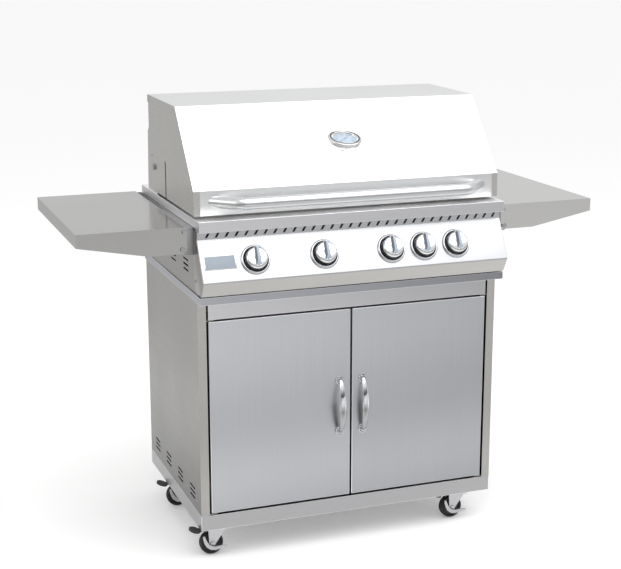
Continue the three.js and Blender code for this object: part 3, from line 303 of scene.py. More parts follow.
# The photo's sheets change tone across their width and height, as they mirror a studio that
# can't be known. These grades stand for those reflections, over spans in metres.
HALF_DOORS = 0.377
DOOR_SPAN = (0.13, 0.63)
PULL_SPAN = (0.366, 0.384)
CART_SPAN = (0.13, 0.70)
STILE_SPAN = (0.10, 0.45)


def grade_pull(mat):
    """Bright upper half and darker lower half of an arched handle."""
    toned(mat, remap(mat, position(mat, "Z", True), 0.42, 1.0, *PULL_SPAN))


def grade_door(mat):
    """Brighter upwards and to the left."""
    upwards = remap(mat, position(mat, "Z", True), 0.68, 1.32, *DOOR_SPAN)
    sideways = remap(mat, position(mat, "X", True), 1.14, 0.92, -HALF_DOORS, HALF_DOORS)
    toned(mat, combine(mat, upwards, sideways, "MULTIPLY"))


def grade_across(mat, left, right, start, end):
    """A tone that changes evenly from left to right."""
    toned(mat, remap(mat, position(mat, "X"), left, right, start, end))


def grade_rail(mat):
    """Brighter on top, and a little to the left."""
    top = remap(mat, facing_part(mat, "Z"), 1.0, 1.5, 0, 1)
    sideways = remap(mat, position(mat, "X"), 1.15, 1.0, -0.4, 0.4)
    toned(mat, combine(mat, top, sideways, "MULTIPLY"))


def grade_cart_side(mat):
    """Darker downwards and paler on the stile in front, with painted shade on inner faces and slot
    walls.
    """
    nodes, links = mat.node_tree.nodes, mat.node_tree.links
    falling = remap(mat, position(mat, "Z"), 0.34, 1.10, *CART_SPAN)
    front_part = facing_part(mat, "Y")
    normal = nodes.new("ShaderNodeSeparateXYZ")
    links.new(nodes.new("ShaderNodeNewGeometry").outputs["Normal"], normal.inputs[0])
    outwards = combine(mat, normal.outputs["X"], position(mat, "X"), "MULTIPLY")
    # painted shade on inner faces and on the walls of the louvre slots
    outer = remap(mat, outwards, 0.2, 1.0, -0.3, -0.1)
    walls = remap(mat, facing_part(mat, "Z"), 1.0, 0.12, 0, 1)
    stile = remap(mat, position(mat, "Z"), 0.90, 1.42, *STILE_SPAN)
    extra = combine(mat, combine(mat, stile, falling, "SUBTRACT"), front_part, "MULTIPLY")
    graded = combine(mat, falling, extra)
    toned(mat, combine(mat, graded, combine(mat, outer, walls, "MULTIPLY"), "MULTIPLY"))


def grade_side_edges(mat):
    """Painted highlight on the front corner, and painted shade on the edges behind it."""
    toned(mat, remap(mat, position(mat, "Y"), 1.0, 0.12, FRONT_Y + 0.001, FRONT_Y + 0.004))


grade_pull(M["pull"])
grade_door(M["door"])
grade_across(M["header"], 1.32, 1.0, -HALF_DOORS, HALF_DOORS)
grade_across(M["frame"], 1.0, 0.60, -0.4, 0.44)
grade_rail(M["rail"])
grade_cart_side(M["cart_side"])
grade_side_edges(M["edge_side"])

# ---------------------------------------------------------------- mesh helpers
SHARP_ANGLE = 32.0


def shade(obj, angle=SHARP_ANGLE):
    """Smooth shading with sharp edges where faces meet at more than the angle in degrees."""
    mesh = obj.data
    for poly in mesh.polygons:
        poly.use_smooth = True
    mesh.set_sharp_from_angle(angle=math.radians(angle))


def new_object(name, bm):
    bmesh.ops.recalc_face_normals(bm, faces=bm.faces)
    mesh = bpy.data.meshes.new(name)
    bm.to_mesh(mesh)
    bm.free()
    obj = bpy.data.objects.new(name, mesh)
    bpy.context.scene.collection.objects.link(obj)
    return obj


def bevel_edges(obj, width, segments=2):
    """Adds a modifier that rounds the edges; the width is in millimetres."""
    mod = obj.modifiers.new("edges", "BEVEL")
    mod.width = width * MM
    mod.segments = segments
    mod.limit_method = "ANGLE"
    mod.angle_limit = math.radians(30)
    return mod


def piece(name, bm, material, body, replaces=(), angle=SHARP_ANGLE, bevel=0.0):
    """A visible piece that rides on a body, with its finish and the nodes it replaces."""
    obj = new_object(name, bm)
    obj.data.materials.append(M[material])
    if bevel:
        bevel_edges(obj, bevel)
        bake(obj)
    shade(obj, angle)
    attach(obj, body)
    if replaces:
        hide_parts(*replaces)
    return obj


def bake(obj):
    """Puts the result of an object's modifiers into its own mesh."""
    graph = bpy.context.evaluated_depsgraph_get()
    graph.update()
    mesh = bpy.data.meshes.new_from_object(obj.evaluated_get(graph))
    obj.modifiers.clear()
    old = obj.data
    obj.data = mesh
    bpy.data.meshes.remove(old)


def boolean(obj, tools, operation="DIFFERENCE"):
    """Joins or cuts with each tool mesh in turn; the tools are used up."""
    for bm in tools:
        tool = new_object("tool", bm)
        mod = obj.modifiers.new("cut", "BOOLEAN")
        mod.operation = operation
        mod.solver = "EXACT"
        mod.object = tool
        bake(obj)
        bpy.data.objects.remove(tool)


def block(bm, low, high, place=None):
    """A box between two corners in metres, carried into a frame where one is given."""
    verts = bmesh.ops.create_cube(bm, size=1.0)["verts"]
    low, high = Vector(low), Vector(high)
    for vert in verts:
        vert.co = Vector([low[i] + (vert.co[i] + 0.5) * (high[i] - low[i]) for i in range(3)])
        if place:
            vert.co = place @ vert.co


def prism(bm, outline, place, a, b):
    """A closed 2D outline pushed from a to b; place(p, q, t) gives the 3D point."""
    first = [bm.verts.new(place(p, q, a)) for p, q in outline]
    second = [bm.verts.new(place(p, q, b)) for p, q in outline]
    n = len(outline)
    for i in range(n):
        j = (i + 1) % n
        bm.faces.new((first[i], first[j], second[j], second[i]))
    bm.faces.new(first[::-1])
    bm.faces.new(second)


def along_x(p, q, t):
    return at(t, p, q)


def along_y(p, q, t):
    return at(p, t, q)


def rounded(points, radii, steps=6):
    """Open polyline with its inner corners rounded to the radius given for each of them."""
    out = [Vector(points[0])]
    for i in range(1, len(points) - 1):
        r = radii[i - 1]
        corner = Vector(points[i])
        before = Vector(points[i - 1]) - corner
        after = Vector(points[i + 1]) - corner
        turn = before.angle(after)
        if r <= 0 or turn > math.radians(178):
            out.append(corner)
            continue
        run = min(r / math.tan(turn / 2), before.length * 0.45, after.length * 0.45)
        start, end = corner + before.normalized() * run, corner + after.normalized() * run
        for k in range(steps + 1):
            t = k / steps
            out.append(start * (1 - t) ** 2 + corner * 2 * t * (1 - t) + end * t ** 2)
    out.append(Vector(points[-1]))
    return out


def sheet_outline(path, thickness):
    """Closed outline of a sheet whose outer face follows the path; thickness to its left."""
    normals = []
    for a, b in zip(path, path[1:]):
        d = (b - a).normalized()
        normals.append(Vector((-d.y, d.x)))
    inner = []
    for i, point in enumerate(path):
        m = (normals[max(i - 1, 0)] + normals[min(i, len(normals) - 1)]).normalized()
        inner.append(point + m * thickness / max(m.dot(normals[min(i, len(normals) - 1)]), 0.3))
    return [tuple(p) for p in path] + [tuple(p) for p in reversed(inner)]


def lathe(bm, profile, matrix, sides=48):
    """Turned body about the frame's w axis; profile is (radius, height) in millimetres."""
    rings = []
    for r, h in profile:
        if r <= 1e-6:
            rings.append([bm.verts.new(matrix @ Vector((0, 0, h * MM)))])
            continue
        ring = []
        for i in range(sides):
            a = 2 * math.pi * i / sides
            ring.append(bm.verts.new(matrix @ Vector((r * math.cos(a) * MM, r * math.sin(a) * MM,
                                                      h * MM))))
        rings.append(ring)
    for a, b in zip(rings, rings[1:]):
        for i in range(sides):
            j = (i + 1) % sides
            if len(a) == 1:
                bm.faces.new((a[0], b[j], b[i]))
            elif len(b) == 1:
                bm.faces.new((a[i], a[j], b[0]))
            else:
                bm.faces.new((a[i], a[j], b[j], b[i]))
    if profile[0] == profile[-1]:
        bmesh.ops.remove_doubles(bm, verts=rings[0] + rings[-1], dist=1e-7)
        return
    if len(rings[0]) > 1:
        bm.faces.new(rings[0][::-1])
    if len(rings[-1]) > 1:
        bm.faces.new(rings[-1])


def sweep(bm, stations, sections):
    """Skin through closed rings: each station is (centre, u, v), each section its (u, v) points."""
    rings = []
    for (centre, u, v), ring in zip(stations, sections):
        rings.append([bm.verts.new(centre + u * p + v * q) for p, q in ring])
    n = len(rings[0])
    for a, b in zip(rings, rings[1:]):
        for i in range(n):
            bm.faces.new((a[i], a[(i + 1) % n], b[(i + 1) % n], b[i]))
    bm.faces.new(rings[0][::-1])
    bm.faces.new(rings[-1])


def ellipse(wide, high, count):
    """Ring of points in metres; the half axes are in millimetres."""
    return [(math.cos(2 * math.pi * i / count) * wide * MM,
             math.sin(2 * math.pi * i / count) * high * MM) for i in range(count)]


# ---------------------------------------------------------------- carried-over CAD nodes
STEELS = {"panel", "frame", "header", "rail", "skirt", "door", "side", "cart_side",
          "hood_side", "hood", "shelf", "shelf_right"}


def dress(node, material, bevel=0.0, segments=2):
    """Gives a CAD node its finish and, by modifiers only, soft edges, which carry a painted
    highlight on steel sheets.
    """
    obj = frame["nodes"][node]
    obj.data.materials.clear()
    obj.data.materials.append(M[material])
    weld = obj.modifiers.new("weld", "WELD")
    weld.merge_threshold = 0.00002
    flat = obj.modifiers.new("flat", "DECIMATE")
    flat.decimate_type = "DISSOLVE"
    flat.angle_limit = math.radians(0.5)
    if bevel:
        mod = bevel_edges(obj, bevel, segments)
        # bevel faces of steel sheets take the painted edge highlight; on the cart sides it turns to
        # painted shade behind the front corner
        if material in STEELS:
            obj.data.materials.append(M["edge_side" if material == "cart_side" else "edge"])
            mod.material = 1
    split = obj.modifiers.new("tidy", "TRIANGULATE")
    split.min_vertices = 5


CORNERS = ["front_left", "front_right", "back_left", "back_right"]
dress("cart_rim", "frame", 0.7)
dress("front_header", "header", 0.7)
dress("cart_base", "skirt", 0.7)
dress("top_rail", "rail", 0.7)
for side in ["left", "right"]:
    dress(f"side_panel_{side}", "cart_side", 0.5)
    dress(f"head_side_{side}", "side", 0.5)
for node in ["hood_end_left", "hood_end_right", "rear_housing"]:
    dress(node, "hood_side", 0.5)
for node in ["cart_rear_panel", "head_rear_panel"]:
    dress(node, "side")
dress("shelf_left", "shelf", 0.7)
# the right shelf takes the lighter copy of the shelf steel, as painted light
dress("shelf_right", "shelf_right", 0.7)
for node in ["firebox", "burner_set", "flame_tamer_rack"]:
    dress(node, "inner")
for node in ["cooking_grate_left", "cooking_grate_right"]:
    dress(node, "iron", 1.2)
for node in ["gas_manifold", "drip_tray"]:
    dress(node, "aluminised", 0.4)
dress("warming_rack", "chrome", 0.8)
dress("rear_burner", "ceramic", 1.0)
dress("hood_pivot_left", "zinc", 0.6)
dress("hood_pivot_right", "zinc", 0.6)
for side in ["left", "right"]:
    dress(f"shelf_bracket_{side}", "zinc", 0.5)
for number in range(1, 6):
    dress(f"valve_stem_{number}", "brass", 0.3)
for corner in CORNERS:
    dress(f"fork_{corner}", "zinc", 0.7)
    dress(f"pedal_{corner}", "plastic", 1.0, 3)

# ---------------------------------------------------------------- hood
def hood_sheet():
    """Folded sheet, notched at its lower corners for the hood ends."""
    bm = bmesh.new()
    path = rounded([(447.0, 1121.5), *reversed(HOOD)], [2.5, 0, 4.0, 3.0])
    prism(bm, sheet_outline(path, SHEET), along_x, -HALF_HEAD, HALF_HEAD)
    hood = piece("hood_sheet", bm, "hood", "hood", replaces=["hood_shell"], bevel=0.35)
    tools = []
    for side in (-1, 1):
        bm = bmesh.new()
        xs = sorted((side * 389.5, side * 420))
        block(bm, at(xs[0], -5, 885), at(xs[1], 12, 952.0))
        tools.append(bm)
    boolean(hood, tools)
    shade(hood)


hood_sheet()

HANDLE_Z = 925.0
HANDLE_OUT = -45.0
HANDLE_HALF = 348.0
HANDLE_BEND = 40.0
HANDLE_ROOT = 6.35
HANDLE_RADIUS = 15.0


def handle_path():
    """Straight bar with a bend of 45 degrees to each slanting leg."""
    bend_x = HANDLE_HALF - (HANDLE_ROOT - HANDLE_OUT) - HANDLE_BEND * math.tan(math.pi / 8)
    bend_y = HANDLE_OUT + HANDLE_BEND
    arc = [math.pi / 4 * i / 10 for i in range(10, -1, -1)]
    left = [(-HANDLE_HALF - 15, HANDLE_ROOT + 15)]
    left += [(-HANDLE_HALF - 1, HANDLE_ROOT + 1)]
    left += [(-bend_x - HANDLE_BEND * math.sin(a), bend_y - HANDLE_BEND * math.cos(a))
             for a in arc]
    middle = [(-bend_x + 2 * bend_x * i / 8, HANDLE_OUT) for i in range(1, 8)]
    return left + middle + [(-x, y) for x, y in reversed(left)]


def direction_at(points, i):
    """Unit vector along a path at its point i, from the neighbour before to the one after."""
    before = Vector(points[max(i - 1, 0)])
    after = Vector(points[min(i + 1, len(points) - 1)])
    return (after - before).normalized()


def hood_handle():
    """Tube with its slanting legs cut flat against the hood."""
    bm = bmesh.new()
    points = handle_path()
    stations = []
    for i, (x, y) in enumerate(points):
        d = direction_at(points, i)
        stations.append((at(x, y, HANDLE_Z), Vector((-d.y, d.x, 0)), UP))
    sweep(bm, stations, [ellipse(HANDLE_RADIUS, HANDLE_RADIUS, 32)] * len(points))
    handle = piece("hood_handle_tube", bm, "handle", "hood", ["hood_handle"], 40)
    bm = bmesh.new()
    block(bm, at(-400, HANDLE_ROOT, HANDLE_Z - 30), at(400, 60, HANDLE_Z + 30))
    boolean(handle, [bm])
    shade(handle, 40)


hood_handle()

# ---------------------------------------------------------------- temperature gauge
neck = slope_frame(HOOD[1], HOOD[2], 0, GAUGE_ALONG)
facing = Vector((0, -math.sin(GAUGE_TILT), math.cos(GAUGE_TILT)))
slope_out = neck.col[2].to_3d()
gauge_off = GAUGE_FOOT * math.sin(facing.angle(slope_out)) + GAUGE_CLEARANCE
gauge = basis(neck.col[3].to_3d() + slope_out * gauge_off * MM, X_AXIS, facing.cross(X_AXIS),
              facing)
def gauge_case():
    """Turned housing with a black ring between two bright ones."""
    bm = bmesh.new()
    lathe(bm, [(0, 0), (39.4, 0), (40.6, 0.6), (42.0, 2.0), (42.8, 4.0), (43.0, 7.0), (42.7, 9.4),
               (42.9, 9.8), (43.4, 10.3), (43.5, 11.4), (43.0, 12.8), (41.8, 13.7), (40.2, 14.0),
               (38.6, 13.9), (38.0, 13.5), (37.7, 12.3), (37.3, 10.6), (35.4, 10.6), (35.0, 12.3),
               (34.6, 13.6), (33.8, 14.0), (32.6, 13.9), (31.8, 13.2), (31.2, 11.6), (30.8, 9.0),
               (3.0, 9.0), (2.5, 7.8), (0, 7.8)], gauge, 80)
    case = piece("gauge_case", bm, "satin", "hood", ["gauge_housing"], 40)
    case.data.materials.append(M["plastic"])
    inverse = gauge.inverted()
    for poly in case.data.polygons:
        spot = inverse @ poly.center
        if 0.0346 < Vector((spot.x, spot.y)).length < 0.0381 and 0.0104 < spot.z < 0.0136:
            poly.material_index = 1


def gauge_neck():
    """Probe, collar and stalk that stand square on the slope."""
    bm = bmesh.new()
    lathe(bm, [(0, -58), (4.6, -58), (4.6, 0.3), (12.5, 0.3), (13.0, 0.8), (13.0, 3.2), (12.4, 3.8),
               (9.0, 4.2), (9.0, gauge_off + 3.0), (0, gauge_off + 3.0)], neck, 40)
    piece("gauge_neck", bm, "satin", "hood", angle=40)


def gauge_dial():
    """Pale dial plate under a slightly domed glass."""
    bm = bmesh.new()
    lathe(bm, [(3.4, 9.1), (30.7, 9.1), (30.7, 9.3), (3.4, 9.3), (3.4, 9.1)], gauge, 64)
    piece("gauge_dial", bm, "dial", "hood")
    bm = bmesh.new()
    lathe(bm, [(0, 13.3), (16.0, 13.0), (31.1, 12.2), (31.1, 11.8), (16.0, 12.6), (0, 12.9)],
          gauge, 64)
    piece("gauge_glass", bm, "glass", "hood")


def dial_ticks(bm, place, radius_in, radius_out, width, start, end, count, height):
    """Thin raised marks spread from one angle to another, counted from the frame's v axis."""
    for i in range(count):
        a = math.radians(start + (end - start) * i / (count - 1))
        block(bm, (-width / 2 * MM, radius_in * MM, height * MM),
              (width / 2 * MM, radius_out * MM, (height + INK_DEPTH) * MM),
              place @ Matrix.Rotation(a, 4, "Z"))


def gauge_marks():
    """Long and short ticks, and a short coloured zone."""
    bm = bmesh.new()
    dial_ticks(bm, gauge, 26.0, 29.5, 0.8, *GAUGE_SWEEP, 14, DIAL_FACE)
    dial_ticks(bm, gauge, 27.9, 29.5, 0.35, *GAUGE_SWEEP, 53, DIAL_FACE)
    piece("gauge_ticks", bm, "ink", "hood")
    bm = bmesh.new()
    dial_ticks(bm, gauge, 16.6, 17.2, 2.2, 40, -60, 22, DIAL_FACE)
    piece("gauge_zone", bm, "red", "hood")


def raised_number(name, words, place):
    """Printed number on the dial, as thin letters, centred on the frame."""
    curve = bpy.data.curves.new(name, "FONT")
    curve.body = words
    curve.size = NUMBER_SIZE * MM
    curve.extrude = INK_DEPTH / 2 * MM
    curve.align_x = "CENTER"
    curve.align_y = "CENTER"
    text = bpy.data.objects.new(name, curve)
    bpy.context.scene.collection.objects.link(text)
    graph = bpy.context.evaluated_depsgraph_get()
    mesh = bpy.data.meshes.new_from_object(text.evaluated_get(graph))
    bpy.data.objects.remove(text)
    mesh.transform(place)
    obj = bpy.data.objects.new(name, mesh)
    bpy.context.scene.collection.objects.link(obj)
    mesh.materials.clear()
    mesh.materials.append(M["ink"])
    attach(obj, "hood")


def gauge_numbers():
    """Temperatures round the dial."""
    first, last = GAUGE_SWEEP
    for i in range(7):
        a = math.radians(first + (last - first) * i / 6)
        spot = Vector((-NUMBER_RADIUS * math.sin(a), NUMBER_RADIUS * math.cos(a), DIAL_FACE + 0.1))
        raised_number(f"gauge_number_{i}", str(100 * (i + 1)),
                      gauge @ Matrix.Translation(spot * MM))


gauge_case()
gauge_neck()
gauge_dial()
gauge_marks()
gauge_numbers()
dress("gauge_needle", "needle")

# a shadow and a mirror image under the gauge, which the photo lacks, are left out
for obj in list(bpy.context.scene.objects):
    if obj.name.startswith("gauge_"):
        obj.visible_shadow = False
        obj.visible_glossy = False

# ---------------------------------------------------------------- control panel
VENT_COUNT = 32
VENT_SPAN = 382
VENT_HALF = 3
VENT_LEAN = 6.5
VENT_LOW, VENT_HIGH = 842.5, 853.5
FACE_PATH = rounded([(-11.0, 858.7), PANEL_TOP, PANEL_EDGE, LIP_EDGE, (-12.0, 705.5)],
                    [2.0, 3.0, 2.5])


def panel_tools():
    """Slanted vent slots and the holes for the valve stems."""
    bm = bmesh.new()
    for i in range(VENT_COUNT):
        x = -VENT_SPAN + 2 * VENT_SPAN * i / (VENT_COUNT - 1)
        slot = [(x - VENT_HALF, VENT_LOW), (x + VENT_HALF, VENT_LOW),
                (x + VENT_HALF + VENT_LEAN, VENT_HIGH), (x - VENT_HALF + VENT_LEAN, VENT_HIGH)]
        prism(bm, slot, along_y, -16, -6)
    for x in KNOB_X:
        lathe(bm, [(7, -8), (7, 8)], panel_frame(x, KNOB_S), 24)
    return bm


def control_panel():
    """Folded face with painted shade on its lip, and painted shade in black on the walls inside its
    slots.
    """
    bm = bmesh.new()
    prism(bm, sheet_outline(FACE_PATH, -SHEET), along_x, -HALF_FACE, HALF_FACE)
    panel = piece("panel_face", bm, "panel", "grill", replaces=["control_panel"])
    boolean(panel, [panel_tools()])
    shade(panel)
    panel.data.materials.append(M["lip"])
    panel.data.materials.append(M["plastic"])
    lip_top = at(0, 0, PANEL_EDGE[1] - 1).z
    vents_low, vents_high = at(0, 0, VENT_LOW - 0.5).z, at(0, 0, VENT_HIGH + 0.5).z
    # painted shade: the lip faces take the darker steel, the slot walls black
    for poly in panel.data.polygons:
        if poly.center.z < lip_top and poly.normal.y < -0.6:
            poly.material_index = 1
        by_slots = vents_low < poly.center.z < vents_high and poly.area < 0.0001
        if by_slots and abs(poly.normal.x) < 0.98 and poly.normal.y > -0.5:
            poly.material_index = 2


def panel_ends():
    outline = [(p.x, p.y) for p in FACE_PATH] + [(15.0, 705.5), (15.0, 858.7)]
    for side, name in SIDES:
        bm = bmesh.new()
        xs = sorted((side * HALF_FACE, side * HALF_HEAD))
        prism(bm, outline, along_x, xs[0], xs[1])
        piece(f"panel_end_{name}", bm, "side", "grill", bevel=0.4)


def badge():
    """Blank plate with a thin border."""
    place = panel_frame(-396, 32)
    bm = bmesh.new()
    block(bm, (0, 0, 0.3 * MM), (80 * MM, 36 * MM, 2.3 * MM), place)
    piece("badge_frame", bm, "satin", "grill", ["badge_plate"], bevel=0.5)
    bm = bmesh.new()
    block(bm, (2.2 * MM, 2.2 * MM, 2.3 * MM), (77.8 * MM, 33.8 * MM, 2.55 * MM), place)
    piece("badge_face", bm, "badge", "grill", bevel=0.1)


control_panel()
panel_ends()
badge()

# ---------------------------------------------------------------- knobs and bezels
# stations across the knob: place, top and half width of its grip
GRIP = [(-20.5, 22.0, 8.4), (-18.5, 25.0, 8.0), (-15.5, 28.6, 7.2), (-11.5, 31.0, 6.4),
        (-6.0, 32.2, 5.7), (2.0, 32.8, 5.2), (12.0, 33.0, 4.9), (20.0, 32.8, 4.7),
        (24.0, 31.6, 4.6), (26.0, 28.4, 4.5), (26.9, 24.0, 4.4)]
GRIP_FOOT = 18.0
MARK_HEIGHT = 7.1


def bezel(number, place):
    bm = bmesh.new()
    lathe(bm, [(8.5, 0.2), (36.4, 0.2), (37.2, 0.9), (37.4, 2.4), (37.0, 4.4), (35.9, 6.2),
               (34.4, 7.2), (33.0, 7.3), (32.0, 6.7), (31.2, 5.2), (30.6, 3.2), (29.4, 1.9),
               (26.0, 1.4), (8.5, 1.4), (8.5, 0.2)], place, 72)
    piece(f"bezel_{number}", bm, "bezel", "grill", angle=50)


def knob_grip(place):
    """Bar with a rounded back that tapers across the knob."""
    bm = bmesh.new()
    u, w = place.col[0].to_3d(), place.col[2].to_3d()
    stations, sections = [], []
    for y, top, wide in GRIP:
        stations.append((place @ Vector((0, y * MM, 0)), u, w))
        r = min(3.2, (top - 21.0) * 0.5)
        ring = [(-wide - 0.9, GRIP_FOOT), (-wide, top - r)]
        ring += [(-wide * math.cos(math.pi * k / 12), top - r + r * math.sin(math.pi * k / 12))
                 for k in range(1, 12)]
        ring += [(wide, top - r), (wide + 0.9, GRIP_FOOT)]
        sections.append([(a * MM, b * MM) for a, b in ring])
    sweep(bm, stations, sections)
    return bm


def knob_cap(number, place):
    """Turned cap joined with its grip, which has a painted reflection in pale blue on its back and
    painted shade on one side.
    """
    bm = bmesh.new()
    lathe(bm, [(0, 20.3), (4.3, 20.3), (4.3, 13.4), (26.9, 13.4), (27.1, 14.0),
               (26.9, 17.4), (26.3, 19.9), (24.9, 21.6), (22.8, 22.5), (18.0, 23.3),
               (9.0, 23.9), (0, 24.1)], place, 64)
    cap = piece(f"knob_cap_{number}", bm, "chrome", f"knob_{number}",
                [f"knob_{number}"], 35)
    boolean(cap, [knob_grip(place)], "UNION")
    shade(cap, 35)
    cap.data.materials.append(M["grip"])
    cap.data.materials.append(M["grip_painted_shade"])
    inverse = place.inverted()
    turn = inverse.to_3x3()
    # faces chosen by facing: left-facing ones get painted shade, outward ones the painted
    # reflection
    for poly in cap.data.polygons:
        spot, out = inverse @ poly.center, turn @ poly.normal
        if spot.z > 0.0236 and abs(spot.x) < 0.0075:
            if out.x < -0.35:
                poly.material_index = 2
            elif out.z > 0.5:
                poly.material_index = 1


# the skirt is dark as painted shade in the gap under the cap
def knob_skirt(number, place):
    bm = bmesh.new()
    lathe(bm, [(4.3, 9.0), (26.4, 9.0), (27.0, 9.6), (27.1, 13.3), (4.3, 13.3), (4.3, 9.0)],
          place, 64)
    piece(f"knob_skirt_{number}", bm, "skirt_painted_shade", f"knob_{number}", angle=40)


def bezel_marks(number, place):
    """Printed marks on the bezel, red on the fourth one."""
    bm = bmesh.new()
    dial_ticks(bm, place, 31.9, 34.9, 1.3, -13, -29, 3, MARK_HEIGHT)
    dial_ticks(bm, place, 32.4, 34.4, 1.2, -97, -113, 2, MARK_HEIGHT)
    dial_ticks(bm, place, 31.7, 35.2, 1.9, 0, 360, 2, MARK_HEIGHT)
    dial_ticks(bm, place, 32.2, 34.2, 1.2, 168, 192, 3, MARK_HEIGHT)
    piece(f"bezel_marks_{number}", bm, "red" if number == 4 else "ink", "grill")


for number, x in enumerate(KNOB_X, 1):
    place = panel_frame(x, KNOB_S)
    bezel(number, place)
    knob_cap(number, place)
    knob_skirt(number, place)
    bezel_marks(number, place)

# ---------------------------------------------------------------- doors and their handles
DOOR_OUTER, DOOR_INNER = 376.7, 2.5
DOOR_LOW, DOOR_HIGH = 129, 630
PIN_X = 370
PULL_X = 31.0
PULL_Z = 375
PULL_HALF = 68.0
PULL_RISE = 19.5
PULL_POWER = 0.62


def door_skin(side, name):
    """Sheet with rolled edges, which carry a painted highlight, open at the back."""
    bm = bmesh.new()
    xs = sorted((side * DOOR_OUTER, side * DOOR_INNER))
    block(bm, at(xs[0], 0, DOOR_LOW), at(xs[1], 20, DOOR_HIGH))
    front = [e for e in bm.edges if min(v.co.y for v in e.verts) < at(0, 1, 0).y
             or abs(e.verts[0].co.y - e.verts[1].co.y) > 0.01]
    bmesh.ops.bevel(bm, geom=front, offset=2.2 * MM, segments=5, affect="EDGES", profile=0.5)
    back = [f for f in bm.faces if f.normal.y > 0.9]
    bmesh.ops.delete(bm, geom=back, context="FACES")
    door = piece(f"door_skin_{name}", bm, "door", f"door_{name}", replaces=[f"door_{name}"])
    solid = door.modifiers.new("gauge", "SOLIDIFY")
    solid.thickness = 1.4 * MM
    solid.offset = -1
    bake(door)
    # painted highlight on the rolled front edges
    door.data.materials.append(M["edge"])
    for poly in door.data.polygons:
        if poly.center.y < at(0, 2.6, 0).y and 0.06 < abs(poly.normal.y) < 0.98:
            poly.material_index = 1
    shade(door)


def door_pins(side, name):
    """Hinge pins at the top and bottom of the door's outer edge."""
    bm = bmesh.new()
    for low, high in ((125.0, 131.0), (629.0, 634.0)):
        lathe(bm, [(0, low), (3, low), (3, high), (0, high)],
              basis(at(side * PIN_X, 9, 0), X_AXIS, BACKWARDS, UP), 20)
    piece(f"door_pins_{name}", bm, "zinc", f"door_{name}")


def door_pull(side, name):
    """Upright arched handle, thickest in the middle."""
    bm = bmesh.new()
    stations, sections = [], []
    for i in range(33):
        t = -1 + 2 * i / 32
        fall = max(1 - t * t, 0.0)
        out = 5.0 + PULL_RISE * fall ** PULL_POWER
        slope = (-PULL_RISE * PULL_POWER * max(fall, 0.03) ** (PULL_POWER - 1) * 2 * t
                 / PULL_HALF)
        direction = Vector((0, -slope, 1)).normalized()
        stations.append((at(side * PULL_X, -out, PULL_Z + PULL_HALF * t), X_AXIS,
                         X_AXIS.cross(direction)))
        sections.append(ellipse(5.2 + 3.9 * fall, 4.4 + 0.6 * fall, 24))
    sweep(bm, stations, sections)
    piece(f"door_pull_{name}", bm, "pull", f"door_{name}", [f"door_handle_{name}"], 50)


def pull_rose(side, name, end, end_name):
    """Stepped ring between the door and one end of its handle."""
    bm = bmesh.new()
    place = basis(at(side * PULL_X, -0.2, PULL_Z + end * PULL_HALF), X_AXIS, UP, -BACKWARDS)
    lathe(bm, [(0, 0), (12.0, 0), (12.2, 0.8), (12.0, 2.2), (11.2, 3.2), (10.2, 3.4),
               (9.4, 2.8), (8.6, 1.9), (7.4, 1.8), (6.4, 2.6), (5.7, 4.4), (5.3, 8.0),
               (0, 8.4)], place, 48)
    piece(f"pull_rose_{name}_{end_name}", bm, "bezel", f"door_{name}", angle=40)


for side, name in SIDES:
    door_skin(side, name)
    door_pins(side, name)
    door_pull(side, name)
    pull_rose(side, name, -1, "low")
    pull_rose(side, name, 1, "high")

# ---------------------------------------------------------------- screws
def screw(name, point, side, radius, height, body):
    """Domed head with a cross recess, on a side of the grill."""
    out = Vector((side, 0, 0))
    u = UP.cross(out)
    place = basis(point, u, out.cross(u), out)
    bm = bmesh.new()
    lathe(bm, [(0, -0.3), (radius, -0.3), (radius, height * 0.45), (radius * 0.86, height * 0.8),
               (radius * 0.5, height), (0, height)], place, 28)
    head = piece(name, bm, "zinc", body, angle=40)
    recess = []
    for a, b in ((0.55, 0.13), (0.131, 0.551)):
        bm = bmesh.new()
        block(bm, (-radius * a * MM, -radius * b * MM, height * 0.5 * MM),
              (radius * a * MM, radius * b * MM, (height + 1) * MM), place)
        recess.append(bm)
    boolean(head, recess)
    shade(head, 40)


for side, name in SIDES:
    screw(f"head_screw_{name}", at(side * HALF_HEAD, 8, 733), side, 3.6, 2.0, "grill")
    screw(f"hood_screw_{name}", at(side * 403.7, 420, 985), side, 3.2, 1.8, "hood")
    for k, (y, z) in enumerate(((40, 820), (40, 846), (520, 820), (520, 846))):
        screw(f"bracket_screw_{name}_{k}", at(side * HALF_HEAD, y, z), side, 4.0, 2.2, "grill")

# ---------------------------------------------------------------- casters
# places and half widths of the brake arm, from the wheel's centre
ARM_PATH = [(-25.0, 27.0), (-23.5, 19.0), (-20.0, 9.0), (-14.0, -1.0), (-5.0, -7.5),
            (6.0, -9.5), (17.0, -8.0), (28.0, -6.5), (36.5, -8.5)]
ARM_HALF = [2.6, 3.4, 4.3, 5.0, 5.4, 5.2, 4.4, 3.4, 2.4]
ARM_CLEARANCE = 0.0009


def wheel_centre(corner):
    low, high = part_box(f"wheel_{corner}")
    return (Vector(low) + Vector(high)) / 2


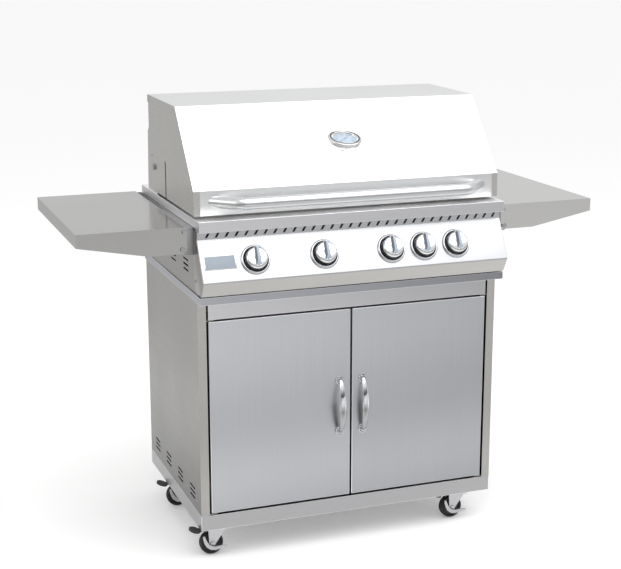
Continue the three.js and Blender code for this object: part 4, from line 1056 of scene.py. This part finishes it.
def wheel(corner):
    """Grooved rubber tread on a plastic hub."""
    place = basis(wheel_centre(corner), X_AXIS, UP, -BACKWARDS)
    bm = bmesh.new()
    lathe(bm, [(23.0, -8.5), (24.0, -10.2), (26.5, -10.8), (28.9, -10.1), (30.2, -8.0),
               (30.9, -5.0), (31.0, -1.0), (30.6, -0.5), (30.6, 0.5), (31.0, 1.0), (30.9, 5.0),
               (30.2, 8.0), (28.9, 10.1), (26.5, 10.8), (24.0, 10.2), (23.0, 8.5),
               (23.0, -8.5)], place, 56)
    piece(f"wheel_tread_{corner}", bm, "rubber", f"wheel_{corner}",
          [f"wheel_{corner}"], 40)
    bm = bmesh.new()
    lathe(bm, [(4.4, -12), (9.0, -12), (9.4, -11), (10.0, -7.5), (21.5, -7.0), (22.9, -8.4),
               (22.9, 8.4), (21.5, 7.0), (10.0, 7.5), (9.4, 11), (9.0, 12), (4.4, 12),
               (4.4, -12)], place, 48)
    piece(f"wheel_hub_{corner}", bm, "plastic", f"wheel_{corner}", angle=40)


def brake_arm(corner):
    """Curved steel strip on the front of the fork, from the pedal down past the hub."""
    hub = wheel_centre(corner)
    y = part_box(f"fork_{corner}")[0][1] - ARM_CLEARANCE
    bm = bmesh.new()
    stations, sections = [], []
    for i, ((dx, dz), wide) in enumerate(zip(ARM_PATH, ARM_HALF)):
        d = direction_at(ARM_PATH, i)
        stations.append((Vector((hub.x + dx * MM, y, hub.z + dz * MM)),
                         Vector((-d.y, 0, d.x)), BACKWARDS))
        sections.append([(-wide * MM, -0.7 * MM), (-wide * MM, 0.5 * MM), (0, 0.7 * MM),
                         (wide * MM, 0.5 * MM), (wide * MM, -0.7 * MM), (0, -1.2 * MM)])
    sweep(bm, stations, sections)
    piece(f"brake_arm_{corner}", bm, "zinc", f"caster_{corner}", angle=40, bevel=0.3)


for corner in CORNERS:
    wheel(corner)
for corner in CORNERS:
    brake_arm(corner)

# ---------------------------------------------------------------- studio
def area_light(name, place, target, width, height, energy, colour=(1, 1, 1)):
    data = bpy.data.lights.new(name, "AREA")
    data.shape = "RECTANGLE"
    data.size, data.size_y = width, height
    data.energy = energy
    data.color = colour
    obj = bpy.data.objects.new(name, data)
    obj.location = place
    obj.rotation_euler = (Vector(target) - Vector(place)).to_track_quat("-Z", "Y").to_euler()
    bpy.context.scene.collection.objects.link(obj)


def studio_world():
    """Surroundings grey at the horizon and white above it, and dark low down in front."""
    world = bpy.data.worlds.new("studio")
    bpy.context.scene.world = world
    world.use_nodes = True
    tree = world.node_tree
    coord = tree.nodes.new("ShaderNodeTexCoord")
    split = tree.nodes.new("ShaderNodeSeparateXYZ")
    tree.links.new(coord.outputs["Generated"], split.inputs[0])
    ramp = tree.nodes.new("ShaderNodeValToRGB")
    tree.links.new(split.outputs["Z"], ramp.inputs[0])
    ramp.color_ramp.elements[0].position = 0.0
    ramp.color_ramp.elements[0].color = (0.80, 0.80, 0.82, 1)
    ramp.color_ramp.elements[1].position = 0.25
    ramp.color_ramp.elements[1].color = (1.0, 1.0, 1.0, 1)
    in_front = remap(world, split.outputs["Y"], 0, 1, -0.25, -0.75)
    low = remap(world, split.outputs["Z"], 0, 1, 0.36, 0.10)
    blend = tree.nodes.new("ShaderNodeMix")
    blend.data_type = "RGBA"
    blend.inputs["B"].default_value = (0.14, 0.145, 0.16, 1)
    tree.links.new(combine(world, in_front, low, "MULTIPLY"), blend.inputs["Factor"])
    tree.links.new(ramp.outputs[0], blend.inputs["A"])
    sky = tree.nodes["Background"]
    tree.links.new(blend.outputs["Result"], sky.inputs[0])
    sky.inputs[1].default_value = 0.82


def floor_material():
    """White floor that glows a little, with painted shade that makes it greyer in front of the
    grill and to its left.
    """
    mat, bsdf = new_material("pale_floor")
    tree = mat.node_tree
    x, y = position(mat, "X", True), position(mat, "Y", True)
    ahead = remap(mat, y, 0.47, 1.0, -1.05, -0.62)
    nearest = remap(mat, y, 1.6, 1.0, -3.4, -1.4)
    leftward = combine(mat, x, combine(mat, y, -0.13, "MULTIPLY"))
    aside = remap(mat, leftward, 0.58, 1.0, -1.2, -0.84)
    graded = combine(mat, combine(mat, ahead, nearest, "MULTIPLY"), aside, "MULTIPLY")
    tone = mix_colour(mat, graded, (0, 0, 0), (0.92, 0.92, 0.92))
    tree.links.new(tone, bsdf.inputs["Base Color"])
    tree.links.new(tone, bsdf.inputs["Emission Color"])
    bsdf.inputs["Emission Strength"].default_value = 0.22
    bsdf.inputs["Roughness"].default_value = 0.9
    bsdf.inputs["Specular IOR Level"].default_value = 0.1
    return mat


def studio_floor():
    bm = bmesh.new()
    bmesh.ops.create_grid(bm, x_segments=1, y_segments=1, size=80)
    mesh = bpy.data.meshes.new("studio_floor")
    bm.to_mesh(mesh)
    bm.free()
    floor = bpy.data.objects.new("studio_floor", mesh)
    bpy.context.scene.collection.objects.link(floor)
    mesh.materials.append(floor_material())


YAW, PITCH, ROLL = math.radians(-20.22), math.radians(-13.84), math.radians(-0.05)
CAMERA_AT = (-1261.2, -3123.1, 1522.2)
FOCAL_PIXELS = 1376.6
PHOTO_PIXELS = 621
SENSOR = 36.0


def photo_camera():
    """Camera with the photo's place, direction and lens, as fitted to its edges."""
    forward = Vector((math.sin(-YAW) * math.cos(PITCH), math.cos(-YAW) * math.cos(PITCH),
                      math.sin(PITCH)))
    level = Vector((math.cos(-YAW), -math.sin(-YAW), 0))
    above = level.cross(forward)
    right = level * math.cos(ROLL) + above * math.sin(ROLL)
    upward = above * math.cos(ROLL) - level * math.sin(ROLL)
    data = bpy.data.cameras.new("view")
    data.sensor_width = SENSOR
    data.lens = FOCAL_PIXELS / PHOTO_PIXELS * SENSOR
    camera = bpy.data.objects.new("view", data)
    bpy.context.scene.collection.objects.link(camera)
    camera.matrix_world = basis(at(*CAMERA_AT), right, upward, -forward)
    bpy.context.scene.camera = camera


area_light("top_box", (0.6, -1.3, 3.1), (0.1, -0.1, 0.9), 4.0, 3.0, 66)
area_light("left_box", (-3.6, -0.6, 2.2), (0, 0, 0.9), 1.6, 2.0, 14, (1.0, 0.98, 0.95))
studio_world()
studio_floor()
photo_camera()
bpy.context.scene.view_settings.view_transform = "Standard"
